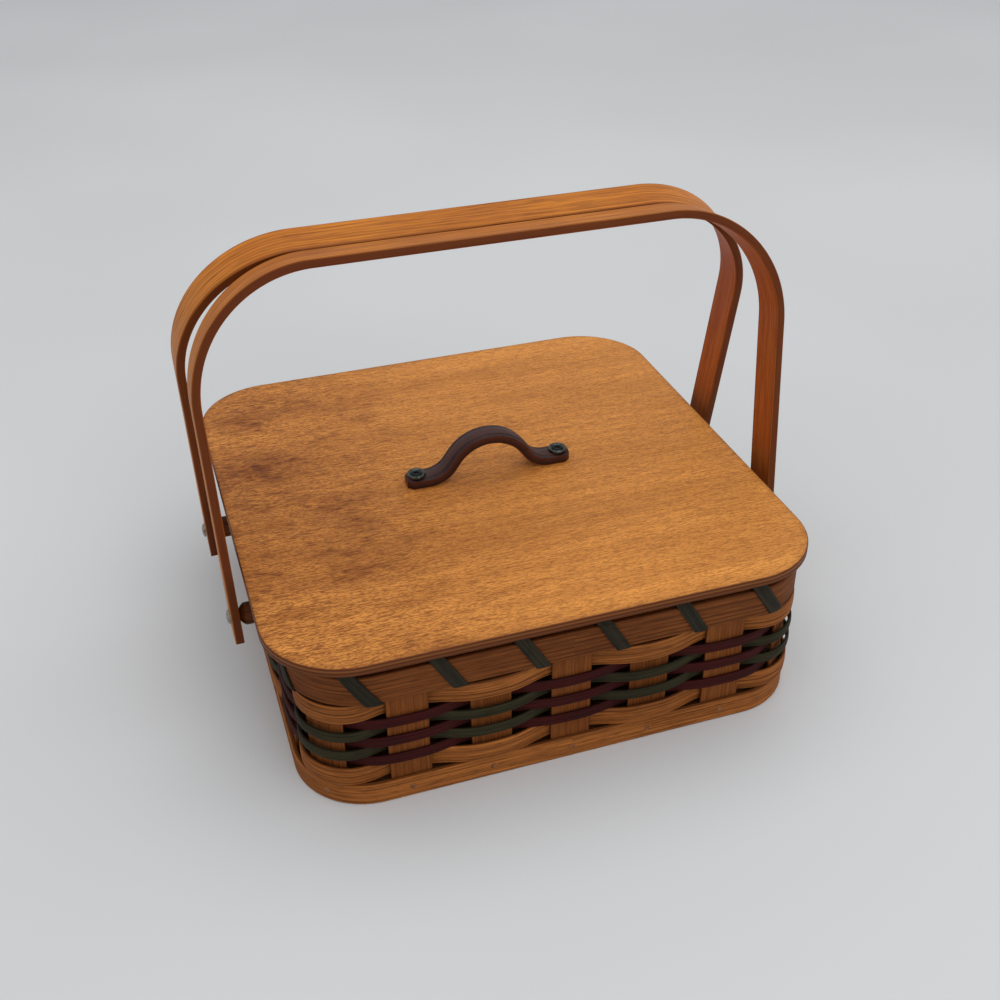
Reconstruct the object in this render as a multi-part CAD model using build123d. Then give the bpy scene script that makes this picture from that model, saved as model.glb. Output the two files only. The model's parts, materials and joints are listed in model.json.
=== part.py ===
from build123d import *
import math
import os

# Woven splint basket with a loose plywood lid, a leather pull and two bentwood swing handles.
# Millimetres, +Z up. The origin is the middle of the basket's underside, X runs along the
# handles' crests and -Y is the front.

# Wall: upright stakes stand on a square with rounded corners, measured on their middle plane.
wall_half = 142.9
wall_corner = 38.0
stake_count = 24
stake_width = 22.4
stake_thickness = 1.6
splint_gap = 0.1

# Weaving: rows of strip that swing from one side of the stakes to the other.
narrow_strip = 6.2
wide_strip = 11.5
strip_thickness = 1.4
wide_swing = 3.6
maroon_swing = 2.4
green_swing = 4.0
row_gap = 0.13
narrow_rows = 5
points_per_stake = 8

# Base: a board inside the stakes and a band nailed round them.
base_thickness = 9.5
band_height = 13.6
band_thickness = 2.5
nail_height = 6.7
nail_radius = 0.7
nail_length = 12.0
nail_head_radius = 1.7
nail_head_height = 0.6
nail_gap = 0.05

# Rim: two hoops that clasp the stake tops, a round filler on top and a spiral lashing.
rim_height = 18.0
rim_thickness = 3.0
filler_diameter = 5.9
filler_gap = 0.05
lashing_width = 8.4
lashing_thickness = 0.9
lashing_gap = 0.2
lashing_slant = 11.4
lashing_top_run = 12.0
lashing_top_half = 2.5
lashing_shoulder = 1.0
lashing_steps = [2, 1, 2, 1, 1, 1]

# Lid: a loose board with a smaller board below it that drops inside the rim.
lid_side = 305.0
lid_corner = 45.0
lid_thickness = 5.5
lid_edge_round = 1.2
lid_seat_gap = 0.3
lid_rest_shift = -3.2
locating_play = 3.8
locating_thickness = 6.0

# Leather pull: a strap bent into an arch, held by two screws in cup washers.
pull_width = 13.5
pull_thickness = 6.0
pull_rise = 28.0
pull_slope = 55.0
pull_foot_bend = 14.0
pull_crown_bend = 28.5
pull_clip = 3.2
pull_shift_x = 3.0
pull_shift_y = -2.5
pull_screw_inset = 6.3
pull_cup_clearance = 1.05
cup_radius = 5.6
cup_slope = 1.1
cup_height = 1.9
screw_head_radius = 3.2
screw_head_height = 1.5
screw_radius = 1.9
screw_gap = 0.05
socket_radius = 1.5
socket_depth = 1.1
screw_end_cover = 1.0

# Handles: two bentwood bows that lean on each other over the middle of the lid. The front one
# stands a little to the right, and further still at its crest, and the rear one to the left.
handle_thickness = 4.8
handle_width = 22.2
front_reach = 193.6
rear_reach = 194.6
front_shift = 0.7
rear_shift = -1.2
front_sway = 2.0
handle_bend = 70.0
handle_tail = 12.2
handle_flare = 1.3
handle_edge_round = 0.6
crest_gap = 0.6
crest_meeting_y = -1.5

# Pivots: spacer, bolt, washer and nut at each handle leg.
pivot_rise = 1.6
spacer_length = 13.3
spacer_radius = 6.35
spacer_end_radius = 3.2
bolt_radius = 2.5
bolt_running_gap = 0.08
bolt_head_radius = 4.3
bolt_head_height = 1.9
bolt_tail = 1.5
pivot_side_gap = 0.3
fixed_bolt_gap = 0.1
washer_radius = 5.3
washer_thickness = 1.0
nut_across_flats = 8.0
nut_thickness = 4.0

# Lengths along the wall's middle line, from the middle of the front.
wall_straight = wall_half - wall_corner
corner_run = wall_corner * math.pi / 2
side_run = 2 * wall_straight + corner_run
stake_pitch = 4 * side_run / stake_count
stakes_per_side = stake_count // 4

# Distances outwards from the wall's middle plane.
stake_face = stake_thickness / 2
rim_back = stake_face + splint_gap
rim_face = rim_back + rim_thickness
band_face = rim_back + band_thickness
weave_face = wide_swing + strip_thickness / 2

# Heights above the floor, row on row.
row_bottoms = [band_height + row_gap]
for row_width in [wide_strip] + [narrow_strip] * narrow_rows:
    row_bottoms.append(row_bottoms[-1] + row_width + row_gap)
rim_bottom = row_bottoms[-1] + wide_strip + lashing_thickness + 2 * lashing_gap
rim_top = rim_bottom + rim_height
filler_middle = rim_top + filler_gap + filler_diameter / 2
filler_top = filler_middle + filler_diameter / 2
lid_bottom = filler_top + lashing_gap + lashing_thickness + lid_seat_gap
lid_top = lid_bottom + lid_thickness

# Pivots sit on the stakes beside the middle of the left and right walls, a little above the middle
# of the top wide strip.
pivot_y = stake_pitch
pivot_height = row_bottoms[-1] + wide_strip / 2 + pivot_rise
spacer_start = wall_half + weave_face
spacer_end = spacer_start + spacer_length
leg_inside = spacer_end + pivot_side_gap
leg_outside = leg_inside + handle_thickness
pivot_stakes = [side * stakes_per_side + step for side in (1, 3) for step in (-1, 1)]

# Each pivot's name, quarter-turned side, place along Y and how far its leg stands further outwards.
pivot_sides = [0, 0, 180, 180]
pivot_names = ["front_right", "rear_right", "front_left", "rear_left"]
pivot_places = [-pivot_y, pivot_y, -pivot_y, pivot_y]
leg_shifts = [front_shift, rear_shift, -front_shift, -rear_shift]

lid_half = lid_side / 2
locating_half = wall_half - rim_face - lashing_gap - lashing_thickness - locating_play

# The pull's crown, the corner between slope and foot, and its half length with room for the cups.
pull_x = lid_rest_shift + pull_shift_x
pull_y = pull_shift_y
slope_angle = math.radians(pull_slope)
pull_peak = pull_rise + pull_crown_bend * (1 / math.cos(slope_angle) - 1)
pull_corner = (pull_peak - pull_thickness) / math.tan(slope_angle)
foot_start = pull_corner + pull_foot_bend * math.tan(slope_angle / 2)
screw_x = foot_start + pull_cup_clearance + cup_radius
pull_half = screw_x + pull_screw_inset


def wall_point(run, out, height=0.0):
    """Point at a run along the wall's middle line, moved outwards by out."""
    side, along = divmod(run + side_run / 2, side_run)
    along -= side_run / 2
    if abs(along) <= wall_straight:
        x = along
        y = -wall_half - out
    else:
        turn = (abs(along) - wall_straight) / wall_corner
        reach = wall_corner + out
        x = math.copysign(wall_straight + reach * math.sin(turn), along)
        y = -wall_straight - reach * math.cos(turn)
    quarter = side * math.pi / 2
    cosine, sine = math.cos(quarter), math.sin(quarter)
    return (x * cosine - y * sine, x * sine + y * cosine, height)


def wall_place(run, height):
    """Frame on the wall's middle line: X runs along the wall and Y points inwards."""
    here = Vector(wall_point(run, 0.0, height))
    inward = here - Vector(wall_point(run, 1.0, height))
    return Location(Plane(here, x_dir=inward.cross(Vector(0, 0, 1)), z_dir=(0, 0, 1)))


def rounded_square(half, corner, bottom, height):
    """Upright prism on a square with rounded corners, centred on the origin."""
    return Pos(0, 0, bottom) * extrude(RectangleRounded(2 * half, 2 * half, corner), height)


def wall_hoop(inside, outside, bottom, height):
    """Hoop that follows the wall between two distances outwards from its middle plane."""
    outer = rounded_square(wall_half + outside, wall_corner + outside, bottom, height)
    inner = rounded_square(wall_half + inside, wall_corner + inside, bottom, height)
    return outer - inner


def at_pivots(shapes):
    """One shape at each pivot, its Z pointing out through the wall from the basket's middle."""
    return [
        Pos(0, y, pivot_height) * Rot(0, 0, turn) * Rot(0, 90, 0) * shape
        for turn, y, shape in zip(pivot_sides, pivot_places, shapes)
    ]


def rod(radius, start, end):
    """Rod along Z."""
    return Pos(0, 0, start) * extrude(Circle(radius), end - start)


def pivot_bores():
    """Rods a little larger than the bolts, from the basket's middle out to the legs."""
    return at_pivots([rod(bolt_radius + fixed_bolt_gap, 0, leg_inside)] * len(leg_shifts))


def stake_hole(index):
    """Nail hole through everything at the foot of one stake."""
    depth = nail_length + band_face
    drill = Rot(90, 0, 0) * Cylinder(nail_radius + nail_gap, 2 * depth)
    return wall_place(index * stake_pitch, nail_height) * drill


def make_stake(index):
    """One upright: a slice of a hoop as wide as the splint, curved where it stands on a corner."""
    slot = Pos(0, 0, rim_top / 2) * Box(stake_width, 2 * stake_width, rim_top)
    hoop = wall_hoop(-stake_face, stake_face, 0, rim_top)
    stake = hoop & (wall_place(index * stake_pitch, 0) * slot)
    stake -= stake_hole(index)
    if index in pivot_stakes:
        stake -= pivot_bores()
    return stake


def make_weaver(bottom, width, swing):
    """Closed strip whose plan swings outwards and inwards as a cosine, once in two stakes."""
    steps = stake_count * points_per_stake

    def edge(offset):
        points = []
        for step in range(steps):
            run = step * stake_pitch / points_per_stake
            points.append(wall_point(run, swing * math.cos(math.pi * run / stake_pitch) + offset))
        return make_face(Spline(*points, periodic=True))

    ring = edge(strip_thickness / 2) - edge(-strip_thickness / 2)
    return Pos(0, 0, bottom) * extrude(ring, width, dir=(0, 0, 1))


def lashing_corners(distance):
    """Corners of the lashing's loop round the rim, in (outwards, height), grown by distance."""
    side = rim_face + lashing_gap + distance
    low = rim_bottom - lashing_gap - distance
    shoulder = rim_top + lashing_shoulder
    top = filler_top + lashing_gap + distance
    half = lashing_top_half + distance * math.tan(math.pi / 8)
    return [(side, shoulder), (side, low), (-side, low), (-side, shoulder), (-half, top), (half, top)]


def lashing_turn():
    """One turn as (run, inner corner, outer corner): down outside, under, up inside, over the top."""
    rise = stake_pitch - lashing_slant - lashing_top_run
    runs = [0, lashing_slant, lashing_slant, lashing_slant + rise]
    runs += [runs[-1] + lashing_top_run / 3, runs[-1] + 2 * lashing_top_run / 3, stake_pitch]
    near, far = lashing_corners(0.0), lashing_corners(lashing_thickness)
    stops = [
        (run, Vector(*inner), Vector(*outer))
        for run, inner, outer in zip(runs, near + near[:1], far + far[:1])
    ]
    turn = []
    for start, end, steps in zip(stops, stops[1:], lashing_steps):
        for step in range(steps):
            blend = step / steps
            turn.append([a + (b - a) * blend for a, b in zip(start, end)])
    return turn


def make_lashing():
    """One strip wound round the rim, one turn in each gap between stakes, ruled from corner to corner."""
    sections = []
    across = [-lashing_width / 2, 0.0, lashing_width / 2]
    turn = lashing_turn()
    for index in range(stake_count):
        start = (index + 0.5) * stake_pitch - lashing_slant / 2
        for run, near, far in turn:
            corners = [wall_point(start + run + side, near.X, near.Y) for side in across]
            corners += [wall_point(start + run + side, far.X, far.Y) for side in reversed(across)]
            sections.append([Vector(*corner) for corner in corners])
    half_turn = len(turn) // 2
    least = min(
        (a - b).length
        for index, section in enumerate(sections)
        for other in sections[index + half_turn:index + 2 * len(turn)]
        for a in section
        for b in other
    )
    print("least gap between turns of the lashing", round(least, 2))
    rings = [Wire.make_polygon(section, close=True) for section in sections]
    skins = [
        Face.make_surface_from_curves(*sides)
        for ring, following in zip(rings, rings[1:])
        for sides in zip(ring.edges(), following.edges())
    ]
    return Solid(Shell(skins + [Face(rings[0]), Face(rings[-1])]))


def make_filler():
    """Round reed laid along the top of the wall."""
    half = 2 * wall_half
    path = RectangleRounded(half, half, wall_corner).wire().moved(Pos(0, 0, filler_middle))
    start = Plane(path @ 0, z_dir=path % 0)
    return sweep(start * Circle(filler_diameter / 2), path=path)


def make_nails():
    """One small round-headed nail at the foot of each stake."""
    shank = Pos(0, nail_length / 2, 0) * Rot(90, 0, 0) * Cylinder(nail_radius, nail_length)
    dome = Sphere(nail_head_radius) & (Pos(0, -nail_head_radius, 0) * Box(*[2 * nail_head_radius] * 3))
    flat = nail_head_height / nail_head_radius
    head = scale(dome, by=(1, flat, 1))
    nail = Pos(0, -band_face, 0) * (shank + head)
    return Compound([wall_place(k * stake_pitch, nail_height) * nail for k in range(stake_count)])


def make_lid_board():
    """Plywood board with softened edges and two holes for the pull's screws."""
    board = Pos(lid_rest_shift, 0, 0) * rounded_square(lid_half, lid_corner, lid_bottom, lid_thickness)
    rims = board.faces().sort_by(Axis.Z)
    board = fillet(rims[0].edges() + rims[-1].edges(), lid_edge_round)
    return board - screw_holes()


def make_locating_board():
    """Smaller board under the lid, which keeps the lid from sliding off the rim."""
    corner = locating_half - wall_straight
    bottom = lid_bottom - locating_thickness
    board = rounded_square(locating_half, corner, bottom, locating_thickness)
    return Pos(lid_rest_shift, 0, 0) * board - screw_holes()


def at_pull_screws(shape):
    """The shape at both screws of the pull, standing on the lid's upper face."""
    return [Pos(pull_x + x, pull_y, lid_top) * shape for x in (-screw_x, screw_x)]


def screw_holes():
    """Holes for the two screws through the pull, the lid and the locating board."""
    return at_pull_screws(Cylinder(screw_radius + screw_gap, 4 * pull_rise))


def pull_line(depth):
    """The pull's outline at a depth below its upper face: flat feet, two slopes and a round crown."""
    base = pull_thickness - depth
    crown_bend = pull_crown_bend - depth
    foot_bend = pull_foot_bend + depth
    corner = pull_corner - depth * math.tan(slope_angle / 2)
    peak = base + corner * math.tan(slope_angle)
    points = [(-pull_half, base), (-corner, base), (0, peak), (corner, base), (pull_half, base)]
    return FilletPolyline(*points, radius=[foot_bend, crown_bend, foot_bend])


def make_pull():
    """Leather strap with clipped corners, bent into an arch."""
    upper = pull_line(0)
    lower = pull_line(pull_thickness)
    ends = [Line(upper @ 0, lower @ 0), Line(upper @ 1, lower @ 1)]
    side = make_face(Curve() + [upper, lower] + ends)
    strap = Pos(0, pull_width / 2, 0) * Rot(90, 0, 0) * extrude(side, pull_width)
    outline = chamfer(Rectangle(2 * pull_half, pull_width).vertices(), pull_clip)
    strap &= extrude(outline, 2 * pull_rise)
    return Pos(pull_x, pull_y, lid_top) * strap - screw_holes()


def make_cup_washers():
    """Cup washers: bevelled rings that hold the screw heads."""
    slope = math.degrees(math.atan(cup_slope / cup_height))
    ring = extrude(Circle(cup_radius), cup_height, taper=slope)
    ring -= Cylinder(screw_head_radius + screw_gap, 4 * cup_height)
    return Compound(at_pull_screws(Pos(0, 0, pull_thickness) * ring))


def make_pull_screws():
    """Screws with a socket in the head, long enough to reach into the locating board."""
    depth = pull_thickness + lid_thickness + locating_thickness - screw_end_cover
    screw = Pos(0, 0, screw_head_height / 2) * Cylinder(screw_head_radius, screw_head_height)
    screw += Pos(0, 0, -depth / 2) * Cylinder(screw_radius, depth)
    socket = extrude(RegularPolygon(socket_radius, 6), -socket_depth)
    screw -= Pos(0, 0, screw_head_height) * socket
    return Compound(at_pull_screws(Pos(0, 0, pull_thickness) * screw))


def bow_line(inset, reach, shift, sway):
    """Outline of a handle at a depth below its outer face, in its own plane, pivot at height 0.

    Its right leg stands outwards by shift and leans by a further sway at the crest, and its left leg
    follows it.
    """
    top = reach - inset
    points = []
    for side in (-1, 1):
        slope = math.tan(math.radians(handle_flare)) + side * sway / reach
        at_pivot = leg_outside + side * shift - inset * math.hypot(1, slope)
        tail = (side * (at_pivot - handle_tail * slope), -handle_tail)
        shoulder = (side * (at_pivot + top * slope), top)
        points += [tail, shoulder] if side < 0 else [shoulder, tail]
    return FilletPolyline(*points, radius=handle_bend - inset)


def make_handle(lean, side, reach, shift, sway):
    """Bentwood bow of even thickness, drilled for its two pivot bolts and leant towards the middle."""
    outer = bow_line(0, reach, shift, sway)
    inner = bow_line(handle_thickness, reach, shift, sway)
    ends = [Line(outer @ 0, inner @ 0), Line(outer @ 1, inner @ 1)]
    face = make_face(Curve() + [outer, inner] + ends)
    bow = Pos(0, handle_width / 2, 0) * Rot(90, 0, 0) * extrude(face, handle_width)
    sides = bow.faces().sort_by(Axis.Y)
    bow = fillet(sides[0].edges() + sides[-1].edges(), handle_edge_round)
    bow -= Rot(0, 90, 0) * Cylinder(bolt_radius + bolt_running_gap, 4 * leg_outside)
    return Pos(0, side * pivot_y, pivot_height) * Rot(lean, 0, 0) * bow


def handle_lean(distance, reach):
    """Lean at which the crest's inner edge comes a distance inwards from above the pivot."""
    radius = math.hypot(reach, handle_width / 2)
    return math.degrees(math.asin(distance / radius) - math.atan2(handle_width / 2, reach))


front_lean = handle_lean(pivot_y + crest_meeting_y - crest_gap / 2, front_reach)
rear_lean = handle_lean(pivot_y - crest_meeting_y - crest_gap / 2, rear_reach)


def make_bolts():
    """Domed bolts: head outside the handle, shank through spacer and wall, tail past the nut."""
    tail_end = wall_half - stake_face - washer_thickness - nut_thickness - bolt_tail
    dome = Sphere(bolt_head_radius) & (Pos(0, 0, bolt_head_radius) * Box(*[2 * bolt_head_radius] * 3))
    dome = scale(dome, by=(1, 1, bolt_head_height / bolt_head_radius))
    bolts = []
    for shift in leg_shifts:
        head_start = leg_outside + shift + pivot_side_gap
        bolts.append(Pos(0, 0, head_start) * dome + rod(bolt_radius, tail_end, head_start))
    return Compound(at_pivots(bolts))


def make_nuts():
    """Hexagon nuts inside the wall."""
    seat = wall_half - stake_face - washer_thickness
    nut = extrude(RegularPolygon(nut_across_flats / 2, 6, major_radius=False), -nut_thickness)
    nut -= Cylinder(bolt_radius + fixed_bolt_gap, 4 * nut_thickness)
    return Compound(at_pivots([Pos(0, 0, seat) * nut] * len(leg_shifts)))


def bolt_ring(radius, start, end):
    """Ring round a pivot bolt."""
    return rod(radius, start, end) - rod(bolt_radius + fixed_bolt_gap, start, end)


def make_spacer(start, end):
    """Round wooden bead, flat where it meets the wall and the handle."""
    half_length = (end - start) / 2
    ball = Sphere(math.hypot(half_length, spacer_end_radius))
    return bolt_ring(spacer_radius, start, end) & (Pos(0, 0, start + half_length) * ball)


nodes = {}

all_stake_holes = [stake_hole(k) for k in range(stake_count)]
board_half = wall_half - rim_back
nodes["base_board"] = rounded_square(board_half, wall_corner - rim_back, 0, base_thickness)
nodes["base_board"] -= all_stake_holes
nodes["base_band"] = wall_hoop(rim_back, band_face, 0, band_height) - all_stake_holes
nodes["band_nails"] = make_nails()
for k in range(stake_count):
    nodes[f"stake_{k + 1:02d}"] = make_stake(k)

# Rows from the bottom up, with the outward swing at the stake in the middle of each side.
rows = {
    "weaver_bottom_wide": -wide_swing,
    "weaver_maroon_lower": maroon_swing,
    "weaver_green_lower": -green_swing,
    "weaver_maroon_middle": maroon_swing,
    "weaver_green_upper": -green_swing,
    "weaver_maroon_upper": maroon_swing,
    "weaver_top_wide": -wide_swing,
}
for bottom, (name, swing) in zip(row_bottoms, rows.items()):
    row_width = wide_strip if "wide" in name else narrow_strip
    nodes[name] = make_weaver(bottom, row_width, swing)
nodes["weaver_top_wide"] -= pivot_bores()

nodes["rim_outer"] = wall_hoop(rim_back, rim_face, rim_bottom, rim_height)
nodes["rim_inner"] = wall_hoop(-rim_face, -rim_back, rim_bottom, rim_height)
nodes["rim_filler"] = make_filler()
nodes["rim_lashing"] = make_lashing()

nodes["lid_board"] = make_lid_board()
nodes["lid_locating_board"] = make_locating_board()
nodes["leather_pull"] = make_pull()
nodes["pull_cup_washers"] = make_cup_washers()
nodes["pull_screws"] = make_pull_screws()

nodes["handle_front"] = make_handle(-front_lean, -1, front_reach, front_shift, front_sway)
nodes["handle_rear"] = make_handle(rear_lean, 1, rear_reach, rear_shift, 0.0)
spacers = [make_spacer(spacer_start, spacer_end + shift) for shift in leg_shifts]
for name, spacer in zip(pivot_names, at_pivots(spacers)):
    nodes[f"spacer_{name}"] = spacer
nodes["pivot_bolts"] = make_bolts()
washer = bolt_ring(washer_radius, wall_half - stake_face - washer_thickness, wall_half - stake_face)
nodes["pivot_washers"] = Compound(at_pivots([washer] * len(leg_shifts)))
nodes["pivot_nuts"] = make_nuts()

print("lid top", round(lid_top, 2), "rim bottom", round(rim_bottom, 2), "rim top", round(rim_top, 2))
print("stake pitch", round(stake_pitch, 3), "pivot height", round(pivot_height, 3))
print("handle lean, front and rear", round(front_lean, 3), round(rear_lean, 3))
print("inside of the handles at the pivot", round(leg_inside, 2))
print("length of the pull", round(2 * pull_half, 2))
print("nodes", len(nodes))

os.makedirs("parts", exist_ok=True)
for name, shape in nodes.items():
    export_step(shape, f"parts/{name}.step")
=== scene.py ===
"""Dresses the woven basket: reed wall, plywood lid, leather pull and two bentwood handles."""

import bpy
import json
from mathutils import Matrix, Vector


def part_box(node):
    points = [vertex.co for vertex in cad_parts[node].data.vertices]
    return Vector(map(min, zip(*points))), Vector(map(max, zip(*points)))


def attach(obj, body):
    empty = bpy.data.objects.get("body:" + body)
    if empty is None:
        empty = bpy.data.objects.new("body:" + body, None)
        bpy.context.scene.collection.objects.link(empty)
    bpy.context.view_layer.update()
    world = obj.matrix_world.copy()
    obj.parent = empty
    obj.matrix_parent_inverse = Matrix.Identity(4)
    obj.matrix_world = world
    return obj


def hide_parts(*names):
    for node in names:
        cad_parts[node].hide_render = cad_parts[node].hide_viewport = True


bl_info = {
    "name": "Woven Splint Basket",
    "version": (1, 0, 0),
    "blender": (4, 5, 0),
    "location": "3D View > Sidebar > Basket",
    "description": "Surfaces and finishes of a square reed basket with a loose lid and swing handles",
    "category": "Add Mesh",
}

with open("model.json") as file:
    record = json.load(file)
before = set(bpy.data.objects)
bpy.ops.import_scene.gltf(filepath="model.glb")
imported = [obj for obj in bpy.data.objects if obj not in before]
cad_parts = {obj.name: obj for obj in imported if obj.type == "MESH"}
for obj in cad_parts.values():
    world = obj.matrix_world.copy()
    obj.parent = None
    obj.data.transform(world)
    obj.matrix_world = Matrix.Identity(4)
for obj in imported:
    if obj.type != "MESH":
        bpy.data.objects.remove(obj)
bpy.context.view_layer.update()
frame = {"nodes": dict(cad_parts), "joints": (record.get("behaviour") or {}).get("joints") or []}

import json
import math

import bpy
import numpy as np
from bpy.props import FloatProperty, FloatVectorProperty, IntProperty, PointerProperty
from bpy.types import Operator, Panel, PropertyGroup
from mathutils import Matrix, Vector

STAKES = 24
WEAVERS = {
    "weaver_bottom_wide": ("splint_natural", -1),
    "weaver_maroon_lower": ("splint_maroon", 1),
    "weaver_green_lower": ("splint_green", -1),
    "weaver_maroon_middle": ("splint_maroon", 1),
    "weaver_green_upper": ("splint_green", -1),
    "weaver_maroon_upper": ("splint_maroon", 1),
    "weaver_top_wide": ("splint_natural", -1),
}
SWINGS = {
    "splint_natural": "wide_swing",
    "splint_maroon": "maroon_swing",
    "splint_green": "green_swing",
}
SPACERS = ["spacer_front_left", "spacer_front_right", "spacer_rear_left", "spacer_rear_right"]
JOINTS = {joint["name"]: joint for joint in frame["joints"]}

# Rounding of the edges of each kind of strip, in metres.
SPLINT_EDGE = 0.0004
RIM_EDGE = 0.0009
BAND_EDGE = 0.0006
LASHING_EDGE = 0.0003
PULL_EDGE = 0.0009

# Domes and grooves that only some strips have, in metres.
WEAVER_CROWN = 0.00035
LASHING_CROWN = 0.00022
LASHING_FIBRE_GAP = 0.0017
LASHING_FIBRE_DEPTH = 0.00008
STAKE_SWAY = 0.0002

# Small turned parts, in metres: radii, and the bolt's tail inwards from the wall's middle line.
BEAD_END = 0.0032
SCREW_HEAD = 0.0032
SCREW_SOCKET = 0.0014
BOLT_SHANK = 0.0025
BOLT_TAIL = 0.0073


def middle(node):
    """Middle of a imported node's box."""
    low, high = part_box(node)
    return (low + high) / 2


def extent(node):
    """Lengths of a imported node's box along X, Y and Z."""
    low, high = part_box(node)
    return high - low


# The wall's middle line, from the stake in the middle of the front.
WALL_HALF = -middle("stake_01").y
WALL_CORNER = 0.038
WALL_STRAIGHT = WALL_HALF - WALL_CORNER
SIDE_RUN = 2 * WALL_STRAIGHT + WALL_CORNER * math.pi / 2
WALL_RUN = 4 * SIDE_RUN
STAKE_PITCH = WALL_RUN / STAKES

# Places of the lid and of the pull on it.
LID_MIDDLE = middle("lid_board")
LID_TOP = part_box("lid_board")[1].z
PULL_MIDDLE = middle("leather_pull")

# The camera's X from the lid's middle, its Y, and its Z from the lid's upper face.
CAMERA_AWAY = (-0.1876, -0.6099, 0.3973)


def length(name, description, default):
    """A length that a user may change, in metres."""
    return FloatProperty(
        name=name, description=description, default=default, unit="LENGTH", precision=5
    )


def colour(name, description, default):
    """A colour that a user may change."""
    return FloatVectorProperty(
        name=name, description=description, default=default, subtype="COLOR", size=3, min=0.0, max=1.0
    )


class BasketSizes(PropertyGroup):
    """Sizes of the strips, bows and relief that the surfaces are worked out from."""

    stake_width: length("Stake width", "Width of an upright splint", 0.0224)
    stake_thickness: length("Stake thickness", "Thickness of an upright splint", 0.0016)
    strip_thickness: length("Strip thickness", "Thickness of a weaving strip", 0.0014)
    wide_swing: length("Wide swing", "How far a wide strip swings either way of the stakes", 0.0036)
    maroon_swing: length("Maroon swing", "How far a maroon strip swings either way", 0.0024)
    green_swing: length("Green swing", "How far a green strip swings either way", 0.0040)
    rim_gap: length("Rim gap", "Gap between a stake and the rim or band", 0.0001)
    rim_thickness: length("Rim thickness", "Thickness of a rim hoop", 0.003)
    band_thickness: length("Band thickness", "Thickness of the base band", 0.0025)
    lashing_width: length("Lashing width", "Width of the lashing strip along the rim", 0.0084)
    lashing_thickness: length("Lashing thickness", "Thickness of the lashing strip", 0.0009)
    lashing_gap: length("Lashing gap", "Gap between the lashing and the rim", 0.0002)
    lashing_slant: length("Lashing slant", "Run of the lashing down the rim", 0.0114)
    lashing_top_run: length("Lashing top run", "Run of the lashing over the filler", 0.012)
    lashing_top_half: length("Lashing top half", "Half the flat over the filler", 0.0025)
    fibre_depth: length("Fibre depth", "Depth of the grooves between fibres in the reed", 0.00022)
    fibre_gap: length("Fibre gap", "Distance between grooves in the reed", 0.0019)
    handle_width: length("Handle width", "Width of a handle strip", 0.0222)
    handle_thickness: length("Handle thickness", "Thickness of a handle strip", 0.0048)
    handle_edge: length("Handle edge", "Rounding of a handle's edges", 0.0006)
    handle_bend: length("Handle bend", "Radius of a handle's outer corner", 0.07)
    handle_tail: length("Handle tail", "Length of a handle leg past its pivot", 0.0122)
    front_reach: length("Front reach", "Height of the front handle's crest over its pivot", 0.1936)
    rear_reach: length("Rear reach", "Height of the rear handle's crest over its pivot", 0.1946)
    front_sway: length("Front sway", "How far the front handle's crest leans to the right", 0.002)
    pivot_gap: length("Pivot gap", "Running gap on either side of a handle leg", 0.0003)
    bolt_dome: length("Bolt dome", "Height of a pivot bolt's domed head", 0.0019)
    lid_corner: length("Lid corner", "Radius of the lid's corners", 0.045)
    lid_edge_round: length("Lid edge round", "Rounding of the lid's edges", 0.0009)
    pull_thickness: length("Pull thickness", "Thickness of the leather pull", 0.006)
    pull_clip: length("Pull clip", "Length of the pull's clipped corners", 0.0032)
    pull_foot_bend: length("Pull foot bend", "Radius above each foot of the pull", 0.014)
    pull_crown_bend: length("Pull crown bend", "Outer radius of the pull's crown", 0.0285)
    pull_crown: length("Pull crown", "How far the pull's upper face is domed", 0.0011)
    pull_groove: length("Pull groove", "Depth of the creased line beside the pull's edges", 0.00035)
    handle_flare: FloatProperty(
        name="Handle flare",
        description="Outward lean of the handle legs",
        default=math.radians(1.3),
        subtype="ANGLE",
    )
    pull_slope: FloatProperty(
        name="Pull slope",
        description="Slope of the pull between foot and crown",
        default=math.radians(55.0),
        subtype="ANGLE",
    )
    seed: IntProperty(name="Seed", description="Start of the random grain", default=7, min=0)


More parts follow.
